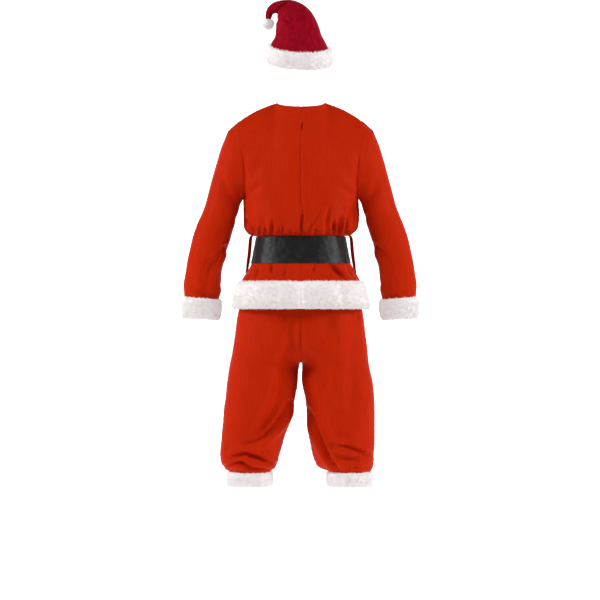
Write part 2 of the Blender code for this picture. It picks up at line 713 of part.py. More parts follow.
def make_hat():
    """The crown, closed at its tail, with a fur band round its brim and a pompom at its end."""
    points = hat_grid()
    away = grid_normals(points, True, 1)
    inner = points - away * CLOTH_WALL
    start = 1
    add_wall("hat_crown", points[start:], inner[start:], (HAT_RED, 0.8), closed=True, capped=True)
    add_fur("hat_fur_band", points[:HAT_FUR_ROWS], away[:HAT_FUR_ROWS], HAT_FUR_DEPTH, (), True)
    make_pompom()


def make_pompom():
    """A ball of locks that stand out from a round core; none stands where the tail is sewn on."""
    shape = bmesh.new()
    bmesh.ops.create_icosphere(shape, subdivisions=2, radius=POMPOM_CORE)
    for face in list(shape.faces):
        if face.normal.z < 0.55:
            bmesh.ops.poke(shape, faces=[face], offset=POMPOM_RADIUS - POMPOM_CORE + 1)
    bmesh.ops.translate(shape, vec=POMPOM_CENTRE, verts=shape.verts)
    add_object("hat_pompom", shape, (FUR_WHITE, 1.0))


def main():
    """Clears the scene and makes the three garments."""
    for found in list(bpy.data.objects):
        bpy.data.objects.remove(found, do_unlink=True)
    base = make_jacket()
    make_belt(base)
    make_breeches()
    make_hat()


main()
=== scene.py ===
"""Looks of a worn costume suit: hat, belted jacket and knee breeches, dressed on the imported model.

Sizes are in millimetres in the model's own frame until a mesh is made. The front faces -Y, the back
+Y, and +X is the wearer's left. Each cloth surface repeats the cut of its solid, from the same short
tables, on a finer grid, and adds soft folds, gathers, puckered seams and fur.
"""

from __future__ import annotations

import logging
import math
from dataclasses import dataclass, field
from enum import Enum
from typing import Any, Iterable

import bpy
import numpy as np
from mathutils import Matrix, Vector


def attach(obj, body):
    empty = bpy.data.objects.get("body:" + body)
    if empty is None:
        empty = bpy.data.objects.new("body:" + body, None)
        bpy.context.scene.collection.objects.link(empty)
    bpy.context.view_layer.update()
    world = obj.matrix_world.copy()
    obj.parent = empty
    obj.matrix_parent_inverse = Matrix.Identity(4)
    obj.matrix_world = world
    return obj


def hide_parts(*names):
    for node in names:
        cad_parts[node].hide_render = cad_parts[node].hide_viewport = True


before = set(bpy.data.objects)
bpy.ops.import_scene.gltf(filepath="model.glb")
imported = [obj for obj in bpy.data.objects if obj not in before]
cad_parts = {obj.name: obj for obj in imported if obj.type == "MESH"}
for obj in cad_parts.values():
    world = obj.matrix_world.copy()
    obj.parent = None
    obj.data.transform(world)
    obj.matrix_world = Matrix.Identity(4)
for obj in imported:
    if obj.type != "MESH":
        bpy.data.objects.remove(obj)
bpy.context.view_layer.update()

LOG = logging.getLogger("suit")
MM = 0.001
CLOTH_WALL = 1.6
LAY_GAP = 0.35
PRESS = 1.9  # how far a crease goes in for each millimetre of its stated depth
OVAL = 0.9  # the power of sine and cosine that gives a ring its rounded oval form
SHARP_FROM = math.radians(48)
SEAM_WIDTH, PUCKER_LENGTH = 3.2, 19
JACKET_EASE, BREECHES_EASE = 1.12, 1.05
BODY = "root"
Array = np.ndarray
Triple = tuple[float, float, float]
Colour = tuple[float, float, float, float]
NO_QUADS, NO_TRIANGLES = np.zeros((0, 4), int), np.zeros((0, 3), int)


class Sign(Enum):
    """One of two opposite directions, valued by its sign."""

    @property
    def word(self) -> str:
        """Its name as the pieces' names have it."""
        return self.name.lower()


class Side(Sign):
    """A side of the wearer, valued by its sign along X."""

    LEFT = 1
    RIGHT = -1


class Face(Sign):
    """The back or the front of a garment, valued by its sign along Y."""

    BACK = 1
    FRONT = -1


def table(columns: str, *rows: tuple[float, ...]) -> dict[str, Array]:
    """Rows of numbers as one array for each column, whose names are parted by spaces."""
    return {name: np.array(values, float) for name, values in zip(columns.split(), zip(*rows))}


def tables(columns: str, **rows: tuple[tuple[float, ...], ...]) -> dict[str, dict[str, Array]]:
    """Several tables with the same columns, by name."""
    return {name: table(columns, *own) for name, own in rows.items()}


def turns(count: int) -> Array:
    """The angles of so many points spread evenly round a circle."""
    return np.arange(count) * 2 * math.pi / count


def unit(vectors: Array) -> Array:
    """Vectors scaled to a length of one."""
    return vectors / np.maximum(np.linalg.norm(vectors, axis=-1, keepdims=True), 1e-9)


def bell(apart: Array, width: float) -> Array:
    """A bell curve of a distance."""
    return np.exp(-((apart / width) ** 2))


def level(x: Array, y: Array, heights: Array) -> Array:
    """Points from a grid of X and Y whose every row lies at one height."""
    return np.stack([x, y, np.broadcast_to(heights[:, None], x.shape)], 2)


def ring_closed(grid: Array) -> Array:
    """A grid with its first column once more at its end."""
    return np.concatenate([grid, grid[:, :1]], 1)


def along_line(seen: Array, start: Any, end: Any) -> tuple[Array, Array]:
    """How far along a line each point is, from 0 to 1, and how far from it."""
    run = np.subtract(end, start)
    along = np.clip(((seen - start) @ run) / (run @ run), 0, 1)
    return along, np.linalg.norm(seen - start - along[..., None] * run, axis=-1)


def smooth(at: Array, places: Array, values: Array) -> Array:
    """Reads values from a smooth curve through places that never overshoots them.

    Each stretch is the cubic between two rows whose end slopes are the harmonic means of the
    slopes on both sides, or nothing at a turning point.

    Args:
        at: Where to read.
        places: The rows' places, in rising order.
        values: The rows' values, one column or several.

    Returns:
        The values at those places.
    """
    wide = values if values.ndim == 2 else values[:, None]
    slopes = np.diff(wide, axis=0) / np.diff(places)[:, None]
    ends = np.empty_like(wide, dtype=float)
    ends[0], ends[-1] = slopes[0], slopes[-1]
    product, total = slopes[:-1] * slopes[1:], slopes[:-1] + slopes[1:]
    ends[1:-1] = np.where(product > 0, 2 * product / np.where(total == 0, 1, total), 0)
    part = np.clip(np.searchsorted(places, at, side="right") - 1, 0, len(places) - 2)
    width = (places[part + 1] - places[part])[:, None]
    t = ((at - places[part])[:, None]) / width
    low = wide[part] * (1 + 2 * t) * (1 - t) ** 2 + width * ends[part] * t * (1 - t) ** 2
    high = wide[part + 1] * t**2 * (3 - 2 * t) - width * ends[part + 1] * t**2 * (1 - t)
    read = low + high
    return read if values.ndim == 2 else read[:, 0]


def finer(columns: dict[str, Array], times: int) -> dict[str, Array]:
    """Reads every column of a table at so many steps to each of its rows."""
    count = len(next(iter(columns.values())))
    at = np.linspace(0, count - 1, (count - 1) * times + 1)
    return {name: smooth(at, np.arange(count, dtype=float), values) for name, values in columns.items()}


def ripple(points: Array, size: float, seed: int) -> Array:
    """A soft random height for each point: a mean of sine waves in seeded random directions.

    Args:
        points: Points in millimetres, with their coordinates last.
        size: The waves' mean length in millimetres.
        seed: The seed of the directions.

    Returns:
        Heights from about -1 to 1, in the points' own shape.
    """
    draw = np.random.default_rng(seed)
    total = np.zeros(points.shape[:-1])
    for _ in range(9):
        way = draw.normal(size=3)
        way *= 2 * math.pi / size / np.linalg.norm(way) * draw.uniform(0.6, 1.6)
        total += np.sin(points @ way + draw.uniform(0, 2 * math.pi))
    return total / 4.2  # about twice the spread of nine waves


def grid_normals(points: Array, closed: bool, outward: float) -> Array:
    """Unit normals of a grid: the cross product of its steps along rows and columns."""
    across = np.roll(points, -1, 1) - np.roll(points, 1, 1) if closed else np.gradient(points, axis=1)
    return unit(np.cross(across, np.gradient(points, axis=0)) * outward)


def relax(grid: Array, rounds: int) -> Array:
    """Moves each inner point of a grid to the mean of its four neighbours, so many times."""
    for _ in range(rounds):
        grid[1:-1, 1:-1] = (grid[:-2, 1:-1] + grid[2:, 1:-1] + grid[1:-1, :-2] + grid[1:-1, 2:]) / 4
    return grid


def faces_of(rows: int, columns: int, closed: bool, start: int = 0) -> Array:
    """The quads of a grid of vertices, row by row."""
    row, column = np.mgrid[0 : rows - 1, 0 : columns if closed else columns - 1]
    after = (column + 1) % columns
    quads = np.stack([row * columns + column, row * columns + after], -1)
    return (np.concatenate([quads, quads[..., ::-1] + columns], -1) + start).reshape(-1, 4)


def rim_of(rows: int, columns: int, closed: bool, capped: bool) -> list[Array]:
    """The vertex loops round a grid's open edges."""
    low, high = np.arange(columns), (rows - 1) * columns + np.arange(columns)
    if closed:
        return [low] if capped else [low, high]
    right = np.arange(1, rows - 1) * columns + columns - 1
    left = np.arange(rows - 2, 0, -1) * columns
    return [np.concatenate([low, right, high[::-1], left])]


def flipped(points: Array, quads: Array) -> bool:
    """Whether a closed shape's quads face inward, by the sign of the volume that they enclose."""
    a, b, c, d = (points[quads[:, k]] for k in range(4))
    volume = np.einsum("ij,ij->i", a, np.cross(b, c)) + np.einsum("ij,ij->i", a, np.cross(c, d))
    return bool(volume.sum() < 0)


def linked(name: str, data: Any) -> bpy.types.Object:
    """A new object of some data, linked to the scene."""
    made = bpy.data.objects.new(name, data)
    bpy.context.scene.collection.objects.link(made)
    return made


@dataclass
class Shape:
    """Points in millimetres with quads and triangles between them."""

    points: Array
    quads: Array
    triangles: Array = field(default_factory=lambda: NO_TRIANGLES)

    def plus(self, other: Shape) -> Shape:
        """Both shapes as one."""
        shifts = {"points": 0, "quads": len(self.points), "triangles": len(self.points)}
        pairs = ((getattr(self, part), getattr(other, part) + shift) for part, shift in shifts.items())
        return Shape(*(np.concatenate(pair) for pair in pairs))

    def make(self, name: str, sharp: bool = True) -> bpy.types.Object:
        """Makes the shape as a smooth object.

        Args:
            name: The piece's name.
            sharp: Whether its cut edges stay sharp.

        Returns:
            The new object, linked, riding on the part's body.
        """
        mesh = bpy.data.meshes.new(name)
        mesh.vertices.add(len(self.points))
        mesh.vertices.foreach_set("co", (self.points * MM).astype(np.float32).ravel())
        corners = np.concatenate([self.quads.ravel(), self.triangles.ravel()]).astype(np.int32)
        mesh.loops.add(len(corners))
        mesh.loops.foreach_set("vertex_index", corners)
        count = len(self.quads)
        starts = [np.arange(count) * 4, count * 4 + np.arange(len(self.triangles)) * 3]
        mesh.polygons.add(count + len(self.triangles))
        mesh.polygons.foreach_set("loop_start", np.concatenate(starts).astype(np.int32))
        mesh.update(calc_edges=True)
        mesh.validate()
        mesh.shade_smooth()
        if sharp:
            mesh.set_sharp_from_angle(angle=SHARP_FROM)
        made = linked(name, mesh)
        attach(made, BODY)
        return made


def wall(outer: Array, inner: Array, closed: bool = False, capped: bool = False) -> Shape:
    """Makes a closed wall between two layers of points with the same rows and columns.

    A closed grid joins its last column to its first, and a capped one ends in a pole.

    Args:
        outer: The outer layer.
        inner: The inner layer.
        closed: Whether the grid runs all round.
        capped: Whether its last row is closed.

    Returns:
        The wall, with its faces outward.
    """
    rows, columns = outer.shape[:2]
    count = rows * columns
    points = np.concatenate([outer.reshape(-1, 3), inner.reshape(-1, 3)])
    quads = [faces_of(rows, columns, closed), faces_of(rows, columns, closed, count)[:, ::-1]]
    for loop in rim_of(rows, columns, closed, capped):
        after = np.roll(loop, -1)
        quads.append(np.stack([loop, loop + count, after + count, after], 1))
    if closed and not capped:
        quads[-1] = quads[-1][:, ::-1]
    triangles = NO_TRIANGLES
    if capped:
        last = (rows - 1) * columns + np.arange(columns)
        after, pole = np.roll(last, -1), np.full(columns, 2 * count)
        outside = np.stack([last, after, pole], 1)
        inside = np.stack([after + count, last + count, pole + 1], 1)
        triangles = np.concatenate([outside, inside])
        points = np.concatenate([points, outer[-1].mean(0)[None], inner[-1].mean(0)[None]])
    joined = np.concatenate(quads)
    if flipped(points, joined):
        joined, triangles = joined[:, ::-1], triangles[:, ::-1]
    return Shape(points, joined, triangles)


@dataclass(frozen=True)
class Crease:
    """A soft trough, or a ridge with a negative depth, along a line of points seen square on.

    Its depth falls off as the bell curve of the distance from the line, with a low ridge beside it
    on both sides, and it fades towards the line's ends.
    """

    face: Face
    line: tuple[tuple[float, float], ...]
    depth: float
    width: float
    lip: float = 0.3
    fade: float = 25.0

    def press(self, points: Array) -> Array:
        """How far the crease presses in each point of a garment."""
        seen = points[..., (0, 2)]
        nearest, progress = np.full(seen.shape[:-1], np.inf), np.zeros(seen.shape[:-1])
        for number, (start, end) in enumerate(zip(self.line, self.line[1:])):
            along, apart = along_line(seen, start, end)
            progress = np.where(apart < nearest, number + along, progress)
            nearest = np.minimum(apart, nearest)
        shown = np.clip(points[..., 1] * self.face.value / self.fade + 0.6, 0, 1)
        taper = np.sin(math.pi * (0.1 + 0.8 * progress / (len(self.line) - 1)))
        profile = bell(nearest, self.width) - self.lip * bell(nearest - 2 * self.width, 1.2 * self.width)
        return self.depth * profile * taper * shown


def creases_of(face: Face, lip: float, *rows: tuple[float, ...]) -> list[Crease]:
    """Creases of one face, from rows of a depth, a width, and each point's X and height in turn."""
    return [Crease(face, tuple(zip(row[2::2], row[3::2])), row[0], row[1], lip) for row in rows]


def pressed(points: Array, creases: Iterable[Crease]) -> Array:
    """The joint depth of several creases at each point."""
    return PRESS * sum(crease.press(points) for crease in creases)


class Value:
    """A shader socket whose operators add Math nodes, so that 1 - mask is a node."""

    def __init__(self, tree: Tree, socket: Any) -> None:
        """Holds a socket and the tree that it is in."""
        self.tree, self.socket = tree, socket

    def _math(self, operation: str, first: Any, second: Any) -> Value:
        """Adds one Math node of two values."""
        return self.tree.add("ShaderNodeMath", {"operation": operation}, {0: first, 1: second})

    def __add__(self, other: Any) -> Value:
        """self + other."""
        return self._math("ADD", self, other)

    __radd__ = __add__

    def __sub__(self, other: Any) -> Value:
        """self - other."""
        return self._math("SUBTRACT", self, other)

    def __rsub__(self, other: Any) -> Value:
        """other - self."""
        return self._math("SUBTRACT", other, self)

    def __mul__(self, other: Any) -> Value:
        """self * other."""
        return self._math("MULTIPLY", self, other)

    __rmul__ = __mul__

    def clipped(self, low: float, high: float) -> Value:
        """The value between two bounds, stretched to run from 0 to 1."""
        inputs = {"Value": self, "From Min": low, "From Max": high}
        return self.tree.add("ShaderNodeMapRange", {"clamp": True}, inputs)


@dataclass
class Tree:
    """A material's node tree, with its Principled shader."""

    name: str
    material: bpy.types.Material = field(init=False)
    shader: Any = field(init=False)

    def __post_init__(self) -> None:
        """Makes the material."""
        self.material = bpy.data.materials.new(self.name)
        self.material.use_nodes = True
        self.shader = self.material.node_tree.nodes["Principled BSDF"]

    def add(self, kind: str, settings: dict[str, Any], inputs: dict[Any, Any],
            output: int | str = 0) -> Value:
        """Adds a node.

        Args:
            kind: The node's type.
            settings: Its own settings, set first.
            inputs: Values or links of its sockets.
            output: The socket to read.

        Returns:
            That socket, wrapped.
        """
        node = self.material.node_tree.nodes.new(kind)
        for key, value in settings.items():
            setattr(node, key, value)
        for key, value in inputs.items():
            self.feed(node.inputs[key], value)
        return Value(self, node.outputs[output])

    def feed(self, socket: Any, value: Any) -> None:
        """Links a wrapped socket to a socket, or sets its plain value."""
        if isinstance(value, Value):
            self.material.node_tree.links.new(value.socket, socket)
        else:
            socket.default_value = value

    def place(self, stretch: Triple = (1, 1, 1)) -> Value:
        """Object coordinates in metres, stretched along each axis."""
        own = self.add("ShaderNodeTexCoord", {}, {}, "Object")
        return self.add("ShaderNodeMapping", {}, {"Vector": own, "Scale": stretch})

    def noise(self, scale: float, detail: float = 2.0, stretch: Triple = (1, 1, 1)) -> Value:
        """Noise about 0.5 over the surface, at so many lumps a metre."""
        inputs = {"Vector": self.place(stretch), "Scale": scale, "Detail": detail}
        return self.add("ShaderNodeTexNoise", {}, inputs)

    def mix(self, share: Any, first: Any, second: Any) -> Value:
        """A mix of two colours by a share."""
        node = self.material.node_tree.nodes.new("ShaderNodeMix")
        node.data_type = "RGBA"
        for key, value in ((0, share), (6, first), (7, second)):
            self.feed(node.inputs[key], value)
        return Value(self, node.outputs[2])

    def bump(self, height: Value, strength: float, depth: float, under: Value | None = None) -> Value:
        """A bumped normal of a height, so many metres deep, over another bump if given."""
        inputs: dict[Any, Any] = {"Height": height, "Strength": strength, "Distance": depth}
        if under is not None:
            inputs["Normal"] = under
        return self.add("ShaderNodeBump", {}, inputs)

    def finish(self, **sockets: Any) -> bpy.types.Material:
        """Feeds the shader's sockets by name, with _ for a space, and returns the material."""
        for key, value in sockets.items():
            self.feed(self.shader.inputs[key.replace("_", " ")], value)
        return self.material


def rgb(red: float, green: float, blue: float) -> Colour:
    """A linear colour with full alpha."""
    return (red, green, blue, 1.0)


@dataclass(frozen=True)
class SuitCloth:
    """Smooth brushed polyester: an even orange red with a fine grain and a faint sheen."""

    bright: Colour = rgb(0.475, 0.0180, 0.0010)
    deep: Colour = rgb(0.418, 0.0136, 0.0007)
    grain: float = 900.0

    def make(self) -> bpy.types.Material:
        """Builds the cloth's material."""
        tree = Tree("suit_cloth_finish")
        cloud, slub = tree.noise(9.0, 3.0), tree.noise(160.0, 2.0, (1.0, 1.0, 0.12))
        fuzz = tree.noise(self.grain, 2.0)
        share = cloud * 0.25 + slub * 0.45 + fuzz * 0.3
        colour = tree.mix(share.clipped(0.36, 0.64), self.deep, self.bright)
        weave = tree.bump(fuzz * 0.6 + tree.noise(420.0, 2.0, (1, 1, 0.3)) * 0.4, 0.22, 0.0006)
        soft = tree.bump(tree.noise(26.0, 2.0, (1, 1, 0.55)), 0.22, 0.004, weave)
        return tree.finish(Base_Color=colour, Roughness=0.52 + cloud * 0.12, Normal=soft, Sheen_Weight=0.01,
                           Sheen_Roughness=0.4, Sheen_Tint=rgb(1.0, 0.2, 0.1), Specular_IOR_Level=0.03)


@dataclass(frozen=True)
class HatPlush:
    """Crimson plush: deeper and bluer than the suit, with a short mottled nap."""

    bright: Colour = rgb(0.33, 0.001, 0.013)
    deep: Colour = rgb(0.18, 0.0005, 0.007)

    def make(self) -> bpy.types.Material:
        """Builds the plush's material."""
        tree = Tree("hat_plush_finish")
        nap, mottle = tree.noise(650.0, 3.0), tree.noise(70.0, 3.0)
        colour = tree.mix((nap * 0.5 + mottle * 0.5).clipped(0.36, 0.64), self.deep, self.bright)
        bumped = tree.bump(nap, 0.5, 0.0012, tree.bump(mottle, 0.25, 0.003))
        return tree.finish(Base_Color=colour, Roughness=0.82 + nap * 0.15, Normal=bumped, Sheen_Weight=0.10,
                           Sheen_Roughness=0.35, Sheen_Tint=rgb(1.0, 0.1, 0.2), Specular_IOR_Level=0.06)


@dataclass(frozen=True)
class FurPlush:
    """White plush fur: tufts with a faint rose grey shade between them, and a painted glow: it emits its
    own colour, painted light that brightens it.
    """

    tip: Colour = rgb(0.75, 0.724, 0.72)
    root: Colour = rgb(0.66, 0.605, 0.605)

    def make(self) -> bpy.types.Material:
        """Builds the fur's material."""
        tree = Tree("fur_finish")
        tuft, hair = tree.noise(95.0, 3.0), tree.noise(700.0, 2.0)
        colour = tree.mix((tuft * 0.65 + hair * 0.35).clipped(0.36, 0.56), self.root, self.tip)
        bumped = tree.bump(hair * 0.5 + tuft * 0.5, 0.5, 0.002)
        # Painted glow: the fur emits its own colour at a strength of 0.42. This is painted light in place
        # of the light that passes through and between its locks.
        return tree.finish(Base_Color=colour, Roughness=0.85 + hair * 0.1, Normal=bumped, Sheen_Weight=0.1,
                           Sheen_Roughness=0.6, Specular_IOR_Level=0.06, Emission_Color=colour,
                           Emission_Strength=0.42)


@dataclass(frozen=True)
class BeltLeather:
    """Soft black imitation leather: a fine pebble grain and a broad low shine."""

    black: Colour = rgb(0.006, 0.006, 0.007)
    worn: Colour = rgb(0.014, 0.014, 0.015)

    def make(self) -> bpy.types.Material:
        """Builds the belt's material."""
        tree = Tree("belt_finish")
        cells = tree.add("ShaderNodeTexVoronoi", {}, {"Vector": tree.place(), "Scale": 620.0}, "Distance")
        cloud = tree.noise(34.0, 3.0)
        colour = tree.mix(cloud.clipped(0.45, 0.75), self.black, self.worn)
        sag = tree.bump(tree.noise(24.0, 2.0, (1.3, 1.3, 0.7)), 0.5, 0.008)
        wrinkles = tree.bump(tree.noise(60.0, 3.0, (1, 1, 2.2)), 0.35, 0.002, sag)
        return tree.finish(Base_Color=colour, Roughness=0.34 + cloud * 0.2, Specular_IOR_Level=0.22,
                           Normal=tree.bump(cells, 0.25, 0.0005, wrinkles))


@dataclass(frozen=True)
class BuckleMetal:
    """Polished yellow metal with fine scuffs."""

    bright: Colour = rgb(0.83, 0.64, 0.28)
    dull: Colour = rgb(0.62, 0.45, 0.18)

    def make(self) -> bpy.types.Material:
        """Builds the buckle's material."""
        tree = Tree("buckle_finish")
        scuff = tree.noise(240.0, 4.0, (1, 1, 4))
        colour = tree.mix(scuff.clipped(0.4, 0.7), self.bright, self.dull)
        return tree.finish(Base_Color=colour, Roughness=0.16 + scuff * 0.2, Metallic=1.0,
                           Normal=tree.bump(scuff, 0.06, 0.0005))


@dataclass(frozen=True)
class PaleStage:
    """White studio paper with a glow, which can fade out on the side that faces the suit's back."""

    glow: float
    fades: bool = False

    def make(self) -> bpy.types.Material:
        """Builds the paper's material."""
        tree = Tree("stage_finish")
        colour = tree.mix(tree.noise(3.0), rgb(0.88, 0.88, 0.88), rgb(0.90, 0.90, 0.90))
        lit = colour
        if self.fades:
            towards = tree.add("ShaderNodeSeparateXYZ", {}, {0: tree.place()}, 1)
            lit = tree.mix(towards.clipped(0.05, 1.2), colour, rgb(0.12, 0.12, 0.12))
        return tree.finish(Base_Color=colour, Roughness=0.8, Specular_IOR_Level=0.1, Emission_Color=lit,
                           Emission_Strength=self.glow)


@dataclass(frozen=True)
class Finishes:
    """One material for each finish of the suit."""

    cloth: bpy.types.Material
    plush: bpy.types.Material
    fur: bpy.types.Material
    leather: bpy.types.Material
    metal: bpy.types.Material


def dress(piece: bpy.types.Object, finish: bpy.types.Material, slot: str, *nodes: str) -> None:
    """Gives a piece its material, and hides the solids that it stands for.

    Args:
        piece: The piece.
        finish: Its material.
        slot: Not used.
        nodes: The solids that it replaces.
    """
    piece.data.materials.clear()
    piece.data.materials.append(finish)
    if nodes:
        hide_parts(*nodes)
    LOG.info("%s: %d faces", piece.name, len(piece.data.polygons))


def area_of(points: Array, closed: bool = False) -> float:
    """The area of a grid in square metres: half the cross products of its quads' diagonals."""
    grid = ring_closed(points) if closed else points
    first, second = grid[1:, 1:] - grid[:-1, :-1], grid[1:, :-1] - grid[:-1, 1:]
    return float(np.linalg.norm(np.cross(first, second), axis=2).sum() / 2 * MM * MM)


def share_normals(grids: list[tuple[Array, Array]]) -> list[Array]:
    """Gives points that meet at a seam one normal, the mean of theirs.

    Args:
        grids: The points and normals of each surface.

    Returns:
        The shared normals of each surface.
    """
    points = np.concatenate([grid.reshape(-1, 3) for grid, _ in grids])
    total_of = np.concatenate([normals.reshape(-1, 3) for _, normals in grids])
    _, which = np.unique(np.round(points, 1), axis=0, return_inverse=True)
    total = np.zeros_like(total_of)
    np.add.at(total, which.ravel(), total_of)
    total = unit(total)
    ends = np.cumsum([grid.shape[0] * grid.shape[1] for grid, _ in grids])[:-1]
    parts = np.split(total[which.ravel()], ends)
    return [part.reshape(grid.shape) for part, (grid, _) in zip(parts, grids)]


def edge_run(points: Array, axis: int, last: bool) -> Array:
    """How far each point of a grid lies from its first or last row (axis 0) or column (axis 1)."""
    steps = np.linalg.norm(np.diff(points, axis=axis), axis=2)
    start = np.zeros_like(np.take(steps, [0], axis))
    if last:
        steps = np.flip(steps, axis)
    run = np.concatenate([start, np.cumsum(steps, axis)], axis)
    return np.flip(run, axis) if last else run


def seam_groove(run: Array, along: Array, depth: float, pucker: float) -> Array:
    """How far a seam draws its cloth in: a narrow valley, with small puckers beside it.

    Args:
        run: The distance from the seam.
        along: A length along the seam.
        depth: The valley's depth.
        pucker: The puckers' height.

    Returns:
        An inward depth for each point.
    """
    valley = depth * bell(run, SEAM_WIDTH)
    wave = np.sin(along * 2 * math.pi / PUCKER_LENGTH + 2 * np.sin(along / 47))
    return valley + pucker * wave * bell(run - 7, 8)


@dataclass
class Surface:
    """A stretch of a garment: a grid of points, and the way out at each."""

    points: Array
    away: Array
    closed: bool = False

    def part(self, rows: slice, columns: slice = slice(None)) -> Surface:
        """Some rows and columns of the surface."""
        return Surface(self.points[rows, columns], self.away[rows, columns], self.closed)

    def lifted(self, height: Array | float) -> Array:
        """The points moved out by a height, or by one for each of them."""
        return self.points + self.away * (height if np.isscalar(height) else height[..., None])

    def shell(self, capped: bool = False) -> Shape:
        """The surface as a thin wall of cloth inside it."""
        return wall(self.points, self.lifted(-CLOTH_WALL), self.closed, capped)


@dataclass
class Fur:
    """A strip of plush fur on a stretch of cloth: a lumpy backing under thousands of fine locks."""

    name: str
    under: Surface
    depth: float
    count: int
    seed: int
    lock: float = 9.0
    radius: float = 0.75

    def build(self, finish: bpy.types.Material) -> bpy.types.Object:
        """Makes the strip in place of its solid.

        The backing is full in the middle and thin at its edges, by the height of a half circle,
        and its lumps are sums of soft waves.

        Args:
            finish: The fur's material.

        Returns:
            The strip.
        """
        across = np.linspace(-1, 1, len(self.under.points))
        full = (0.12 + 0.88 * np.clip(1 - across**2, 0, 1) ** 0.4)[:, None]
        points = self.under.points
        if not self.under.closed:
            full = full * (1 - 0.45 * self.joint(points))
        lumps = 1.4 * ripple(points, 27, self.seed) + 0.9 * ripple(points, 12, self.seed + 1)
        outer = self.under.lifted(LAY_GAP + np.maximum((self.depth - 5.5 + lumps) * full, 1.2))
        backing = wall(outer, self.under.lifted(LAY_GAP), self.under.closed)
        piece = backing.plus(self.locks(outer)).make(self.name + "_plush", False)
        dress(piece, finish, "fur", self.name)
        return piece

    @staticmethod
    def joint(points: Array) -> Array:
        """How near each point is to the strip's ends, from 0 to 1, where the plush is parted."""
        return np.clip(bell(edge_run(points, 1, False), 7) + bell(edge_run(points, 1, True), 7), 0, 1)

    def locks(self, outer: Array) -> Shape:
        """The locks: three-sided spikes that lean together in tufts.

        Each starts at a random place on the backing, points along the surface's normal, and leans
        towards the strip's nearer edge, with its tuft, and down with its weight.

        Args:
            outer: The backing's outer layer.

        Returns:
            The locks as one shape.
        """
        grid, facing = outer, self.under.away
        if self.under.closed:
            grid, facing = ring_closed(grid), ring_closed(facing)
        draw = np.random.default_rng(self.seed)
        rows, columns = grid.shape[:2]
        place = draw.uniform(0, 1, (self.count, 2)) * (rows - 1.001, columns - 1.001)
        row, column = place.astype(int).T
        u, v = (place - place.astype(int)).T[:, :, None]
        near = grid[row, column] * (1 - v) + grid[row, column + 1] * v
        far = grid[row + 1, column] * (1 - v) + grid[row + 1, column + 1] * v
        root, out, along = near * (1 - u) + far * u, facing[row, column], unit(far - near)
        spread = (place[:, :1] / (rows - 1)) * 2 - 1
        tuft = np.stack([ripple(root, 13, self.seed + k) for k in (5, 6, 7)], 1) * 0.6
        sway = tuft + draw.normal(size=root.shape) * 0.2 - (0, 0, 0.3)
        lean = unit(out + along * spread * np.abs(spread) * 1.5 + sway)
        lean = unit(lean + out * np.maximum(0, 0.3 - (lean * out).sum(1, keepdims=True)) * 1.2)
        length = self.lock * draw.uniform(0.65, 1.1, (self.count, 1))
        if not self.under.closed:
            length *= 1 - 0.4 * self.joint(self.under.points)[row, column][:, None]
        return spikes(root - lean * 1.5, lean, length, self.radius, draw)


def spikes(root: Array, lean: Array, length: Array, radius: float, draw: np.random.Generator) -> Shape:
    """Thin three-sided spikes, each from a triangle round its root to a point.

    Args:
        root: Where each starts.
        lean: The way that each points.
        length: The length of each.
        radius: The radius at the root.
        draw: The random numbers that turn each about itself.

    Returns:
        All of them as one shape.
    """
    first = unit(np.cross(lean, draw.normal(size=lean.shape)))
    second = np.cross(lean, first)
    turn = turns(3)[:, None]
    ring = root[:, None] + radius * (first[:, None] * np.cos(turn) + second[:, None] * np.sin(turn))
    points = np.concatenate([ring, (root + lean * length)[:, None]], 1).reshape(-1, 3)
    base = np.arange(len(root))[:, None, None] * 4
    sides = base + np.array([[0, 1, 3], [1, 2, 3], [2, 0, 3]])
    return Shape(points, NO_QUADS, sides.reshape(-1, 3))


def declare_sheet(piece: bpy.types.Object, surface: Surface, ease: float) -> None:
    """States a piece's flat cut: its widest row and longest column, let out by its ease.

    Args:
        piece: The piece.
        surface: The surface that it follows.
        ease: How much more cloth than surface its gathers take up, as a factor.
    """
    points = surface.points
    ring = ring_closed(points) if surface.closed else points
    width = float(np.linalg.norm(np.diff(ring, axis=1), axis=2).sum(1).max()) * MM * ease
    length = float(np.linalg.norm(np.diff(points, axis=0), axis=2).sum(0).max()) * MM
    area = float(np.clip(area_of(points, surface.closed) * ease, 0.31 * width * length, width * length))
    LOG.info("%s: cut %.0f x %.0f mm, %.3f square metres", piece.name, width / MM, length / MM, area)


def cloth_on(node: str, shape: Shape, cut: Surface, finish: bpy.types.Material, ease: float = 1.0) -> None:
    """Makes the suit cloth that stands for a solid.

    Args:
        node: The solid.
        shape: The cloth's shape.
        cut: The surface that its flat cut is measured on.
        finish: The cloth's material.
        ease: The gathers' factor.
    """
    piece = shape.make(node + "_cloth")
    dress(piece, finish, "suit_cloth", node)
    declare_sheet(piece, cut, ease)


